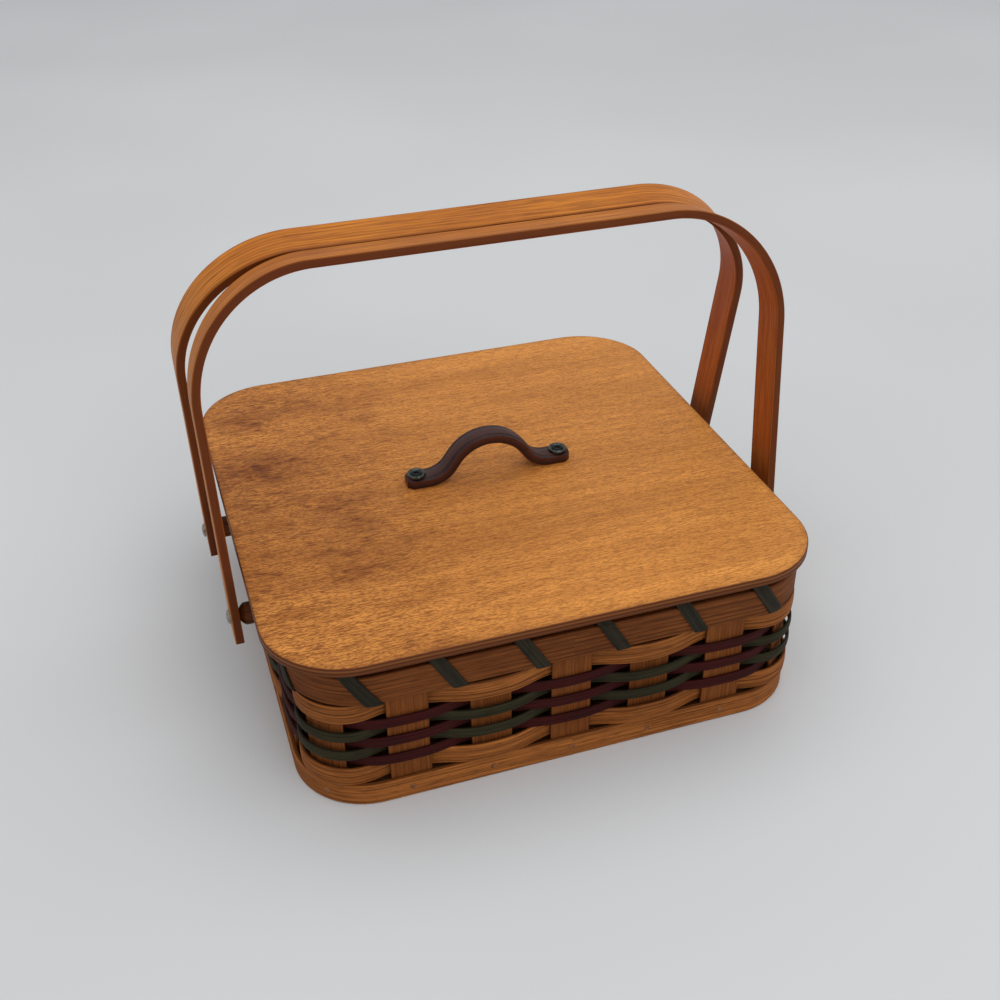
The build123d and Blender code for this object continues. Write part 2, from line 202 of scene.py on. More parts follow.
class BasketColours(PropertyGroup):
    """Stains and dyes."""

    lid_light: colour("Lid light", "Lid between its grain lines", (0.80, 0.325, 0.067))
    lid_dark: colour("Lid dark", "Grain lines of the lid", (0.20, 0.050, 0.006))
    lid_blotch: colour("Lid blotch", "Patches where the stain took more", (0.22, 0.056, 0.007))
    lid_edge: colour("Lid edge", "End grain round the lid", (0.095, 0.023, 0.0048))
    lid_ply: colour("Lid ply", "Paler plies in the lid's edge", (0.30, 0.105, 0.025))
    board_light: colour("Board light", "Hidden boards between their grain lines", (0.16, 0.060, 0.018))
    board_dark: colour("Board dark", "Grain lines of the hidden boards", (0.06, 0.018, 0.005))
    handle_light: colour("Handle light", "Handle strip between its grain lines", (0.66, 0.222, 0.019))
    handle_dark: colour("Handle dark", "Grain lines of the handles", (0.16, 0.034, 0.004))
    handle_edge: colour("Handle edge", "Narrow faces of the handles", (0.100, 0.019, 0.004))
    handle_inside: colour("Handle inside", "Inner faces of the handles", (0.31, 0.038, 0.012))
    # Painted light: band_light is lighter for light bounced up from the floor, rim_light darker for the
    # lid's shade.
    band_light: colour("Band light", "Reed of the base band", (0.50, 0.170, 0.035))
    weaver_light: colour("Weaver light", "Wide natural weavers", (0.45, 0.150, 0.031))
    rim_light: colour("Rim light", "Reed of the rim", (0.235, 0.071, 0.0145))
    reed_dark: colour("Reed dark", "Grooves of the natural reed", (0.055, 0.013, 0.002))
    stake_light: colour("Stake light", "Upright splints between their fibres", (0.27, 0.084, 0.018))
    stake_dark: colour("Stake dark", "Fibres of the upright splints", (0.12, 0.032, 0.006))
    maroon_light: colour("Maroon light", "Dyed maroon reed", (0.055, 0.0040, 0.0024))
    maroon_dark: colour("Maroon dark", "Grooves of the maroon reed", (0.018, 0.0022, 0.0022))
    green_light: colour("Green light", "Dyed green reed", (0.043, 0.036, 0.0135))
    green_dark: colour("Green dark", "Grooves of the green reed", (0.010, 0.0085, 0.004))
    lashing_light: colour("Lashing light", "Dyed lashing reed", (0.040, 0.032, 0.018))
    lashing_dark: colour("Lashing dark", "Grooves of the lashing reed", (0.010, 0.009, 0.006))
    leather_top: colour("Leather top", "Upper face of the pull", (0.034, 0.0085, 0.0055))
    leather_side: colour("Leather side", "Cut sides of the pull", (0.11, 0.025, 0.012))
    leather_under: colour("Leather under", "Underside of the pull", (0.28, 0.085, 0.018))
    floor: colour("Floor", "Pale floor", (0.60, 0.605, 0.605))


# Surfaces


def wall_line(run, out):
    """Plan position of points on the wall, as X and Y.

    run is the distance along the wall's middle line from the middle of the front, and out the distance
    outwards from it. Each side is a straight with half a quarter circle at either end, turned a quarter
    for each side: x = straight + (corner + out) sin(bend) and y = -straight - (corner + out) cos(bend).
    """
    run, out = np.broadcast_arrays(run, out)
    side = np.floor((run + SIDE_RUN / 2) / SIDE_RUN)
    along = run - side * SIDE_RUN
    bend = np.clip((np.abs(along) - WALL_STRAIGHT) / WALL_CORNER, 0.0, None)
    reach = WALL_CORNER + out
    x = np.sign(along) * (np.minimum(np.abs(along), WALL_STRAIGHT) + reach * np.sin(bend))
    y = -WALL_STRAIGHT - reach * np.cos(bend)
    turn = side * math.pi / 2
    return x * np.cos(turn) - y * np.sin(turn), x * np.sin(turn) + y * np.cos(turn)


def bent_line(corners, radii, step):
    """Points, unit tangents and lengths along straight runs joined by arcs.

    At a corner where the line turns by an angle, the arc starts a tangent length of radius times
    tan(angle / 2) before it, and its points are centre + radius (cos, sin) of an even angle.
    """
    corners = [np.array(corner, float) for corner in corners]
    pieces = []
    here = corners[0]
    for before, corner, after, radius in zip(corners, corners[1:], corners[2:], radii):
        first = (corner - before) / np.linalg.norm(corner - before)
        second = (after - corner) / np.linalg.norm(after - corner)
        turn = math.atan2(first[0] * second[1] - first[1] * second[0], first @ second)
        cut = radius * math.tan(abs(turn) / 2)
        start = corner - first * cut
        pieces.append(straight_points(here, start, step))
        steps = max(4, int(abs(turn) * radius / step))
        angle = np.linspace(0.0, turn, steps, endpoint=False)[:, None]
        side = math.copysign(1.0, turn) * np.array([-first[1], first[0]])
        arc = start + side * radius
        pieces.append(arc - side * radius * np.cos(angle) + first * radius * np.abs(np.sin(angle)))
        here = corner + second * cut
    pieces.append(straight_points(here, corners[-1], step))
    points = np.vstack(pieces + [corners[-1][None]])
    tangents = np.gradient(points, axis=0)
    tangents /= np.linalg.norm(tangents, axis=1)[:, None]
    lengths = np.concatenate([[0.0], np.cumsum(np.linalg.norm(np.diff(points, axis=0), axis=1))])
    return points, tangents, lengths


def straight_points(start, end, step):
    """Even points from start up to, but not at, end."""
    count = max(1, int(np.linalg.norm(end - start) / step))
    return start + (end - start) * np.linspace(0.0, 1.0, count, endpoint=False)[:, None]


def strip_outline(width, thickness, edge, face_steps, back_steps):
    """Closed outline of a flat strip as (across, depth, face), from the outer face's left.

    Two flats lie half a thickness from the middle and four arcs of the edge radius join them. face is
    the sine of the outline's direction: 1 on the outer face, 0 on the narrow edges and -1 on the back.
    """
    flat, half = width / 2 - edge, thickness / 2 - edge
    quarter = np.linspace(0.0, math.pi / 2, 5)
    across = [np.linspace(-flat, flat, face_steps)[1:-1]]
    depth = [np.full(face_steps - 2, thickness / 2)]
    face = [np.ones(face_steps - 2)]
    for sign_across, sign_depth, angle in (
        (1, 1, math.pi / 2 - quarter),
        (1, -1, -quarter),
        (-1, -1, -math.pi / 2 - quarter),
        (-1, 1, math.pi - quarter),
    ):
        across.append(sign_across * flat + edge * np.cos(angle))
        depth.append(sign_depth * half + edge * np.sin(angle))
        face.append(np.sin(angle))
        if (sign_across, sign_depth) == (1, -1):
            across.append(np.linspace(flat, -flat, back_steps)[1:-1])
            depth.append(np.full(back_steps - 2, -thickness / 2))
            face.append(-np.ones(back_steps - 2))
    return np.concatenate(across), np.concatenate(depth), np.concatenate(face)


def outline_lengths(across, depth):
    """Length round a closed outline at each point, with the whole length as a last value."""
    steps = np.hypot(np.diff(across, append=across[0]), np.diff(depth, append=depth[0]))
    return np.concatenate([[0.0], np.cumsum(steps)])


def wander(position, reach, seed, terms=5):
    """Slow random wave between about -1 and 1 along a position: a sum of sines of unlike lengths."""
    random = np.random.default_rng(seed)
    total = np.zeros_like(position, dtype=float)
    for term in range(terms):
        wave = reach / (1 + 0.8 * term + random.uniform(0, 0.3))
        total += np.sin(2 * math.pi * position / wave + random.uniform(0, 2 * math.pi)) / (1 + term)
    return total / 1.6


def ring_wander(position, whole, seed, terms=7):
    """Slow random wave that closes on itself after the whole length: sines of whole counts."""
    random = np.random.default_rng(seed)
    total = np.zeros_like(position, dtype=float)
    for term in range(1, terms + 1):
        count = term * 3 + random.integers(0, 3)
        total += np.sin(2 * math.pi * count * position / whole + random.uniform(0, 2 * math.pi)) / term
    return total / 1.8


def fibres(along, across, gap, whole, seed):
    """Grooves between the fibres of a reed, from 0 on a fibre to 1 at the bottom of a groove.

    A sum of waves across the strip, whose phase wanders slowly along it, is cut off below a level. The
    wander closes on itself after the whole length.
    """
    random = np.random.default_rng(seed)
    total = np.zeros(np.broadcast(along, across).shape)
    for term in range(4):
        spacing = gap * random.uniform(0.55, 1.7)
        bend = ring_wander(along, whole, seed * 31 + term) * random.uniform(0.8, 2.0)
        total += np.sin(2 * math.pi * across / spacing + bend + random.uniform(0, 2 * math.pi))
    return np.clip((total - 0.9) / 2.0, 0.0, 1.0) ** 0.8


def grid_mesh(name, points, lengths, rounds, wrap=(True, True), marks=None, sharp=50.0):
    """Mesh on a grid of points, closed round where wrapped and capped where it ends in open rows.

    lengths and rounds give the grain map's U for each row and V for each column, one more than there
    are points where that way wraps. The faces are turned outwards by the sign of the enclosed volume,
    which is a sixth of the sum of each triangle's corner . (corner x corner).
    """
    rows, columns = points.shape[:2]
    row = np.arange(rows if wrap[0] else rows - 1)
    column = np.arange(columns if wrap[1] else columns - 1)
    r, c = [a.ravel() for a in np.meshgrid(row, column, indexing="ij")]
    corner_rows = np.stack([r, r + 1, r + 1, r], axis=1)
    corner_columns = np.stack([c, c, c + 1, c + 1], axis=1)
    quads = (corner_rows % rows) * columns + corner_columns % columns
    uv = np.stack([np.asarray(lengths)[corner_rows], np.asarray(rounds)[corner_columns]], axis=2)
    flat = points.reshape(-1, 3)
    a, b, d, e = (flat[quads[:, k]] for k in range(4))
    volume = np.einsum("ij,ij->", a, np.cross(b, d)) + np.einsum("ij,ij->", a, np.cross(d, e))
    faces = quads.tolist()
    corners = uv.reshape(-1, 2)
    if not wrap[0]:
        ring = np.arange(columns)
        turned = np.arange(columns)[::-1]
        faces += [turned.tolist(), (ring + (rows - 1) * columns).tolist()]
        rounds = np.asarray(rounds)
        for ring_columns, end in ((turned, 0), (ring, -1)):
            cap = np.stack([np.full(columns, np.asarray(lengths)[end]), rounds[ring_columns]], axis=1)
            corners = np.vstack([corners, cap])
    mesh = bpy.data.meshes.new(name)
    mesh.from_pydata(flat, [], faces)
    layer = mesh.uv_layers.new(name="grain")
    layer.data.foreach_set("uv", corners.astype(np.float32).ravel())
    for mark, values in (marks or {}).items():
        attribute = mesh.attributes.new(mark, "FLOAT", "POINT")
        values = np.broadcast_to(values, (rows, columns))
        attribute.data.foreach_set("value", values.astype(np.float32).ravel())
    if volume < 0:
        mesh.flip_normals()
    mesh.polygons.foreach_set("use_smooth", np.ones(len(mesh.polygons), bool))
    mesh.set_sharp_from_angle(angle=math.radians(sharp))
    mesh.validate()
    return mesh


def joined(name, meshes):
    """One mesh out of several, kept as separate shells."""
    objects = [bpy.data.objects.new(f"{name}_part", mesh) for mesh in meshes]
    for item in objects:
        bpy.context.scene.collection.objects.link(item)
    with bpy.context.temp_override(
        active_object=objects[0], selected_editable_objects=objects, selected_objects=objects
    ):
        bpy.ops.object.join()
    mesh = objects[0].data
    mesh.name = name
    bpy.data.objects.remove(objects[0])
    return mesh


def place(name, mesh, material, body, slot, *nodes):
    """Puts a finished mesh in the scene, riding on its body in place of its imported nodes."""
    piece = bpy.data.objects.new(name, mesh)
    bpy.context.scene.collection.objects.link(piece)
    mesh.materials.clear()
    mesh.materials.append(material)
    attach(piece, body)
    if nodes:
        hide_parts(*nodes)
    return piece


def refinish(node, material):
    """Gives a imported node's own mesh a finish."""
    data = frame["nodes"][node].data
    data.materials.clear()
    data.materials.append(material)


def wall_strip(name, out, low, width, thickness, edge, counts, seed, crown=0.0, swing=None):
    """Closed strip round the wall: its outline stands upright and is carried along the middle line.

    A point is wall_line(run, out + swing(run) + depth) at the height low + width / 2 + across.
    The outer face is domed by crown times 1 - (2 across / width)^2 and lowered where a groove runs. The
    seed also shifts the grain map, so that no two strips look alike.
    """
    sizes = bpy.context.scene.basket_sizes
    rows, face_steps, back_steps = counts
    across, depth, face = strip_outline(width, thickness, edge, face_steps, back_steps)
    run = np.linspace(0.0, WALL_RUN, rows, endpoint=False)[:, None]
    front = np.clip(face, 0.0, 1.0)
    dome = crown * np.clip(1.0 - (2 * across / width) ** 2, 0.0, 1.0) * front
    groove = fibres(run, across[None, :], sizes.fibre_gap, WALL_RUN, seed) * np.abs(face)[None, :]
    lift = np.sign(face)[None, :] * -sizes.fibre_depth * groove
    outwards = out + depth[None, :] + dome[None, :] + lift
    if swing is not None:
        outwards = outwards + swing(run)
    x, y = wall_line(run, outwards)
    z = low + width / 2 + across[None, :] + np.zeros_like(run)
    points = np.stack([x, y, z], axis=2)
    lengths = np.linspace(0.0, WALL_RUN, rows + 1) + seed * 1.37
    marks = {"groove": groove, "narrow": 1.0 - np.abs(face)[None, :]}
    return grid_mesh(name, points, lengths, outline_lengths(across, depth), marks=marks)


def turned_mesh(name, profile, rings, steps, place_point):
    """Closed round body: a profile of (height, radius) turned about an axis, its ends in a point.

    A point is height along the axis and radius (cos, sin) across it. place_point puts (across, across,
    height) arrays into the frame.
    """
    height, radius = np.array(profile, float).T
    fine = np.linspace(0.0, len(height) - 1.0, rings)
    height = np.interp(fine, np.arange(len(height)), height)
    radius = np.interp(fine, np.arange(len(radius)), radius)
    angle = np.linspace(0.0, 2 * math.pi, steps, endpoint=False)
    spread = radius[:, None]
    points = place_point(spread * np.cos(angle), spread * np.sin(angle), height[:, None] + 0 * angle)
    lengths = np.concatenate([[0.0], np.cumsum(np.hypot(np.diff(height), np.diff(radius)))])
    rounds = np.linspace(0.0, 2 * math.pi * radius.max(), steps + 1)
    return grid_mesh(name, points, lengths, rounds, wrap=(False, True), sharp=35.0)


# Shader groups and materials


def add(tree, kind, inputs=None, **settings):
    """A node with its settings, and its inputs either joined to a socket or given a value."""
    made = tree.nodes.new(kind)
    for key, value in settings.items():
        setattr(made, key, value)
    for key, value in (inputs or {}).items():
        if isinstance(value, bpy.types.NodeSocket):
            tree.links.new(value, made.inputs[key])
        else:
            made.inputs[key].default_value = value
    return made


def mixed(tree, factor, first, second, mode="MIX"):
    """Colour that goes from first to second by a factor."""
    node = tree.nodes.new("ShaderNodeMix")
    node.data_type = "RGBA"
    node.blend_type = mode
    for index, value in ((0, factor), (6, first), (7, second)):
        if isinstance(value, bpy.types.NodeSocket):
            tree.links.new(value, node.inputs[index])
        elif index:
            node.inputs[index].default_value = (*value[:3], 1.0)
        else:
            node.inputs[index].default_value = value
    return node.outputs[2]


def maths(tree, operation, first, second, clamp=False):
    """One arithmetic step on two values."""
    node = add(tree, "ShaderNodeMath", {0: first, 1: second}, operation=operation, use_clamp=clamp)
    return node.outputs[0]


def share(tree, value, amount, clamp=False):
    """A share of a value."""
    return maths(tree, "MULTIPLY", value, amount, clamp)


def rest(tree, value, amount):
    """A share of what a value leaves to 1."""
    return share(tree, maths(tree, "SUBTRACT", 1.0, value), amount)


def plus(tree, start, value, amount):
    """A start with a share of a value on top."""
    return maths(tree, "ADD", start, share(tree, value, amount))


def stretch_range(tree, value, low, high, smooth=False):
    """A value spread so that low becomes 0 and high becomes 1."""
    kind = "SMOOTHSTEP" if smooth else "LINEAR"
    node = add(
        tree,
        "ShaderNodeMapRange",
        {"Value": value, "From Min": low, "From Max": high},
        interpolation_type=kind,
    )
    return node.outputs["Result"]


def new_group(name, inputs, outputs):
    """Empty shader group with named sockets, and its input and output nodes."""
    group = bpy.data.node_groups.new(name, "ShaderNodeTree")
    for label, kind, default in inputs:
        socket = group.interface.new_socket(label, in_out="INPUT", socket_type=kind)
        if default is not None:
            socket.default_value = default
    for label, kind in outputs:
        group.interface.new_socket(label, in_out="OUTPUT", socket_type=kind)
    return group, group.nodes.new("NodeGroupInput").outputs, group.nodes.new("NodeGroupOutput").inputs


def stretched_position(group, position, along, across):
    """Position divided by a length along X and a width across it."""
    per_length = maths(group, "DIVIDE", 1.0, along)
    per_width = maths(group, "DIVIDE", 1.0, across)
    scale = add(group, "ShaderNodeCombineXYZ", {"X": per_length, "Y": per_width, "Z": per_width})
    factors = {0: position, 1: scale.outputs[0]}
    return add(group, "ShaderNodeVectorMath", factors, operation="MULTIPLY").outputs[0]


def grain_group():
    """Long lines of grain: coarse and fine noise drawn out along X."""
    name = "Long Grain"
    if name in bpy.data.node_groups:
        return bpy.data.node_groups[name]
    group, given, result = new_group(
        name,
        [
            ("Position", "NodeSocketVector", None),
            ("Line Length", "NodeSocketFloat", 0.05),
            ("Line Width", "NodeSocketFloat", 0.001),
        ],
        [("Lines", "NodeSocketFloat"), ("Fine", "NodeSocketFloat")],
    )
    place_in = stretched_position(group, given["Position"], given["Line Length"], given["Line Width"])
    coarse = add(
        group,
        "ShaderNodeTexNoise",
        {"Vector": place_in, "Scale": 1.0, "Detail": 4.0, "Roughness": 0.55, "Distortion": 0.3},
    )
    fine = add(
        group,
        "ShaderNodeTexNoise",
        {"Vector": place_in, "Scale": 3.4, "Detail": 3.0, "Roughness": 0.6, "Distortion": 0.1},
    )
    group.links.new(stretch_range(group, coarse.outputs["Fac"], 0.38, 0.62), result["Lines"])
    group.links.new(stretch_range(group, fine.outputs["Fac"], 0.40, 0.60), result["Fine"])
    return group


def pore_group():
    """Short dark dashes of open pores along X: the peaks of a noise above a level."""
    name = "Pores"
    if name in bpy.data.node_groups:
        return bpy.data.node_groups[name]
    group, given, result = new_group(
        name,
        [
            ("Position", "NodeSocketVector", None),
            ("Pore Length", "NodeSocketFloat", 0.008),
            ("Pore Width", "NodeSocketFloat", 0.0006),
            ("Level", "NodeSocketFloat", 0.58),
        ],
        [("Pores", "NodeSocketFloat")],
    )
    place_in = stretched_position(group, given["Position"], given["Pore Length"], given["Pore Width"])
    noise = add(
        group, "ShaderNodeTexNoise", {"Vector": place_in, "Scale": 1.0, "Detail": 2.0, "Roughness": 0.5}
    )
    above = maths(group, "SUBTRACT", noise.outputs["Fac"], given["Level"])
    group.links.new(stretch_range(group, above, 0.0, 0.09, smooth=True), result["Pores"])
    return group


def stain_group():
    """Uneven stain: a soft large mask and a mottled one with broken edges."""
    name = "Uneven Stain"
    if name in bpy.data.node_groups:
        return bpy.data.node_groups[name]
    group, given, result = new_group(
        name,
        [
            ("Position", "NodeSocketVector", None),
            ("Patch Length", "NodeSocketFloat", 0.06),
            ("Patch Width", "NodeSocketFloat", 0.03),
        ],
        [("Soft", "NodeSocketFloat"), ("Mottled", "NodeSocketFloat")],
    )
    place_in = stretched_position(group, given["Position"], given["Patch Length"], given["Patch Width"])
    soft = add(group, "ShaderNodeTexNoise", {"Vector": place_in, "Scale": 1.0, "Detail": 2.0})
    broken = add(
        group,
        "ShaderNodeTexNoise",
        {"Vector": place_in, "Scale": 1.7, "Detail": 8.0, "Roughness": 0.68, "Distortion": 0.6},
    )
    soft_mask = stretch_range(group, soft.outputs["Fac"], 0.35, 0.65, smooth=True)
    mottled_mask = stretch_range(group, broken.outputs["Fac"], 0.45, 0.68, smooth=True)
    group.links.new(soft_mask, result["Soft"])
    group.links.new(mottled_mask, result["Mottled"])
    return group


def use_group(tree, group, **inputs):
    """A shader group placed in a material with its own values."""
    node = tree.nodes.new("ShaderNodeGroup")
    node.node_tree = group
    for key, value in inputs.items():
        socket = node.inputs[key.replace("_", " ")]
        if isinstance(value, bpy.types.NodeSocket):
            tree.links.new(value, socket)
        else:
            socket.default_value = value
    return node.outputs


def start_material(slot):
    """Empty material with its tree and shader, or None for both where it is made already."""
    name = f"{slot}_finish"
    if name in bpy.data.materials:
        return bpy.data.materials[name], None, None
    material = bpy.data.materials.new(name)
    material.use_nodes = True
    tree = material.node_tree
    return material, tree, tree.nodes["Principled BSDF"]


def mark_value(tree, name):
    """A value stored on the mesh's points."""
    return add(tree, "ShaderNodeAttribute", attribute_name=name).outputs["Fac"]


def object_position(tree):
    """Position in the object's own coordinates, in metres."""
    return tree.nodes.new("ShaderNodeTexCoord").outputs["Object"]


def grain_position(tree):
    """Position on the piece's own grain map, in metres, with the grain along X."""
    return add(tree, "ShaderNodeUVMap", uv_map="grain").outputs["UV"]


def finish_surface(tree, shader, final, height, roughness, relief, sheen=None):
    """Joins a colour, roughness and relief to their shader, and sets its sheen where one is given."""
    tree.links.new(final, shader.inputs["Base Color"])
    tree.links.new(roughness, shader.inputs["Roughness"])
    bump = add(tree, "ShaderNodeBump", {"Height": height, "Distance": relief, "Strength": 0.7})
    tree.links.new(bump.outputs["Normal"], shader.inputs["Normal"])
    if sheen is not None:
        shader.inputs["Specular IOR Level"].default_value = sheen


# Tints that multiply a stain where it is thick, and a painted light on the lid's right side.
REED_THICK = (0.62, 0.52, 0.45)
HANDLE_THICK = (0.75, 0.60, 0.50)
LEATHER_THICK = (0.55, 0.5, 0.5)
LID_PAINTED_LIGHT = (1.12, 1.18, 1.22)

# Grain lines of the beads and the wood between them.
BEAD_DARK = (0.045, 0.010, 0.003)
BEAD_LIGHT = (0.20, 0.055, 0.013)

# Darkest leather: painted shade round the top's edges, which leaves a painted highlight along its middle,
# painted shade low on the sides, and the crease.
LEATHER_PAINTED_SHEEN_EDGE = (0.014, 0.005, 0.004)
LEATHER_PAINTED_SHADE_LOW = (0.012, 0.005, 0.004)
LEATHER_CREASE = (0.012, 0.005, 0.005)

# Bright colour, dull colour, roughness and metallic share of each metal finish.
METALS = {
    "dark_metal": ((0.10, 0.11, 0.10), (0.022, 0.026, 0.023), 0.28, 1.0),
    "black_metal": ((0.022, 0.024, 0.023), (0.008, 0.008, 0.008), 0.45, 1.0),
    "nickel": ((0.30, 0.28, 0.24), (0.09, 0.075, 0.055), 0.22, 1.0),
    "nail_metal": ((0.30, 0.12, 0.04), (0.09, 0.035, 0.012), 0.45, 0.5),
}


def reed_material(name, light, dark, line_width=0.0018, contrast=0.50, roughness=0.58):
    """Flat reed: lengthwise fibres, dark grooves, uneven dye and darker narrow edges."""
    material, tree, shader = start_material(name)
    if tree is None:
        return material
    here = grain_position(tree)
    grain = use_group(tree, grain_group(), Position=here, Line_Length=0.11, Line_Width=line_width)
    specks = use_group(
        tree, pore_group(), Position=here, Pore_Length=0.012, Pore_Width=0.7 * line_width, Level=0.53
    )
    stain = use_group(
        tree, stain_group(), Position=object_position(tree), Patch_Length=0.05, Patch_Width=0.05
    )
    lines = rest(tree, grain["Lines"], contrast)
    tone = mixed(tree, lines, light, dark)
    thin = rest(tree, grain["Fine"], contrast * 0.5)
    tone = mixed(tree, thin, tone, dark)
    tone = mixed(tree, share(tree, specks["Pores"], contrast * 0.7), tone, dark)
    tone = mixed(tree, share(tree, mark_value(tree, "groove"), 0.70), tone, dark)
    tone = mixed(tree, share(tree, stain["Soft"], 0.45), tone, REED_THICK, "MULTIPLY")
    tone = mixed(tree, share(tree, mark_value(tree, "narrow"), 0.7), tone, dark)
    height = plus(tree, grain["Lines"], grain["Fine"], 0.6)
    rough = plus(tree, roughness, grain["Fine"], 0.16)
    finish_surface(tree, shader, tone, height, rough, 0.00022, 0.12)
    return material


def spot_mask(tree, position, centre, reach):
    """Soft round mask: 0 past the reach from a centre and 1 within a tenth of it."""
    away = add(tree, "ShaderNodeVectorMath", {0: position, 1: centre}, operation="DISTANCE")
    return stretch_range(tree, away.outputs["Value"], reach, reach * 0.1, smooth=True)


# X and Y from the lid's middle, reach and depth of the darkest blotches in the lid's stain.
LID_SPOTS = (
    (-0.134, 0.045, 0.030, 1.30), (-0.112, 0.038, 0.026, 1.10), (-0.088, -0.010, 0.026, 0.80),
    (-0.086, -0.034, 0.022, 0.70), (-0.088, -0.066, 0.028, 0.90), (-0.126, 0.120, 0.040, 0.90),
    (-0.090, 0.118, 0.034, 0.60), (-0.056, 0.085, 0.022, 0.50), (-0.060, 0.032, 0.020, 0.50),
    (-0.140, -0.075, 0.024, 0.50), (0.028, 0.045, 0.022, 0.35),
)


def lid_material(colours):
    """Honey-stained plywood: bands and short dark dashes along X, red-brown patches to the left, painted
    light to the right.
    """
    material, tree, shader = start_material("lid_wood")
    if tree is None:
        return material
    here = object_position(tree)
    bands = use_group(tree, stain_group(), Position=here, Patch_Length=0.42, Patch_Width=0.05)
    grain = use_group(tree, grain_group(), Position=here, Line_Length=0.080, Line_Width=0.0060)
    dashes = use_group(
        tree, pore_group(), Position=here, Pore_Length=0.0075, Pore_Width=0.0009, Level=0.52
    )
    specks = use_group(
        tree, pore_group(), Position=here, Pore_Length=0.0024, Pore_Width=0.0007, Level=0.49
    )
    patches = use_group(tree, stain_group(), Position=here, Patch_Length=0.050, Patch_Width=0.024)
    axes = add(tree, "ShaderNodeSeparateXYZ", {"Vector": here}).outputs
    leftness = stretch_range(tree, axes["X"], 0.02, -0.15, smooth=True)
    # Painted light: the lid grows lighter towards the right, where the light falls.
    painted_light_right = stretch_range(tree, axes["X"], -0.02, 0.16, smooth=True)
    openness = plus(tree, 0.36, leftness, 0.28)
    tone = mixed(tree, share(tree, bands["Soft"], 0.26), colours.lid_light, colours.lid_dark)
    lines = rest(tree, grain["Lines"], 0.20)
    tone = mixed(tree, lines, tone, colours.lid_dark)
    fine = rest(tree, grain["Fine"], 0.16)
    tone = mixed(tree, fine, tone, colours.lid_dark)
    tone = mixed(tree, share(tree, dashes["Pores"], openness), tone, colours.lid_dark)
    tone = mixed(tree, share(tree, specks["Pores"], openness), tone, colours.lid_dark)
    tone = mixed(tree, share(tree, painted_light_right, 0.4), tone, LID_PAINTED_LIGHT, "MULTIPLY")
    tone = mixed(tree, share(tree, leftness, 0.10), tone, colours.lid_blotch)
    blotch = share(tree, patches["Mottled"], maths(tree, "ADD", 0.06, leftness))
    clouds = use_group(tree, stain_group(), Position=here, Patch_Length=0.014, Patch_Width=0.006)
    broken = maths(tree, "ADD", 0.28, clouds["Mottled"])
    for x, y, reach, depth in LID_SPOTS:
        centre = (LID_MIDDLE.x + x, LID_MIDDLE.y + y, LID_TOP)
        spot = share(tree, spot_mask(tree, here, centre, reach), broken)
        blotch = plus(tree, blotch, spot, depth)
    tone = mixed(tree, share(tree, blotch, 0.64, clamp=True), tone, colours.lid_blotch)
    inked = share(tree, share(tree, blotch, 0.55, clamp=True), dashes["Pores"])
    tone = mixed(tree, inked, tone, colours.lid_edge)
    tone = mixed(tree, mark_value(tree, "narrow"), tone, colours.lid_edge)
    tone = mixed(tree, share(tree, mark_value(tree, "ply"), 0.6), tone, colours.lid_ply)
    height = maths(tree, "SUBTRACT", grain["Fine"], share(tree, dashes["Pores"], 0.8))
    rough = plus(tree, 0.42, grain["Fine"], 0.16)
    finish_surface(tree, shader, tone, height, rough, 0.00015, 0.14)
    return material


def plywood_material(colours):
    """Plain stained plywood for the boards that hardly show."""
    material, tree, shader = start_material("base_wood")
    if tree is None:
        return material
    here = object_position(tree)
    grain = use_group(tree, grain_group(), Position=here, Line_Length=0.04, Line_Width=0.002)
    bands = use_group(tree, stain_group(), Position=here, Patch_Length=0.25, Patch_Width=0.04)
    tone = mixed(tree, share(tree, bands["Soft"], 0.4), colours.board_light, colours.board_dark)
    lines = rest(tree, grain["Lines"], 0.5)
    tone = mixed(tree, lines, tone, colours.board_dark)
    rough = plus(tree, 0.5, grain["Fine"], 0.15)
    finish_surface(tree, shader, tone, grain["Lines"], rough, 0.0001, 0.12)
    return material


def handle_material(colours):
    """Steam-bent strip: long grain on the broad faces, a darker tone on the narrow and inner ones."""
    material, tree, shader = start_material("handle_wood")
    if tree is None:
        return material
    here = grain_position(tree)
    grain = use_group(tree, grain_group(), Position=here, Line_Length=0.16, Line_Width=0.0016)
    dashes = use_group(
        tree, pore_group(), Position=here, Pore_Length=0.026, Pore_Width=0.0013, Level=0.50
    )
    stain = use_group(
        tree, stain_group(), Position=object_position(tree), Patch_Length=0.07, Patch_Width=0.07
    )
    lines = rest(tree, grain["Lines"], 0.5)
    tone = mixed(tree, lines, colours.handle_light, colours.handle_dark)
    fine = rest(tree, grain["Fine"], 0.22)
    tone = mixed(tree, fine, tone, colours.handle_dark)
    tone = mixed(tree, share(tree, dashes["Pores"], 0.4), tone, colours.handle_dark)
    tone = mixed(tree, share(tree, stain["Soft"], 0.4), tone, HANDLE_THICK, "MULTIPLY")
    tone = mixed(tree, share(tree, mark_value(tree, "back"), 0.5), tone, colours.handle_inside)
    tone = mixed(tree, share(tree, mark_value(tree, "rim"), 0.4), tone, colours.handle_edge)
    tone = mixed(tree, share(tree, mark_value(tree, "narrow"), 0.92), tone, colours.handle_edge)
    height = maths(tree, "SUBTRACT", grain["Lines"], share(tree, dashes["Pores"], 0.7))
    rough = plus(tree, 0.38, grain["Fine"], 0.16)
    finish_surface(tree, shader, tone, height, rough, 0.00014, 0.13)
    return material


def bead_material():
    """Turned bead with a very dark stain and a thin varnish."""
    material, tree, shader = start_material("spacer_wood")
    if tree is None:
        return material
    grain = use_group(
        tree, grain_group(), Position=grain_position(tree), Line_Length=0.02, Line_Width=0.0008
    )
    tone = mixed(tree, grain["Lines"], BEAD_DARK, BEAD_LIGHT)
    rough = plus(tree, 0.38, grain["Fine"], 0.2)
    finish_surface(tree, shader, tone, grain["Lines"], rough, 0.00008, 0.12)
    return material


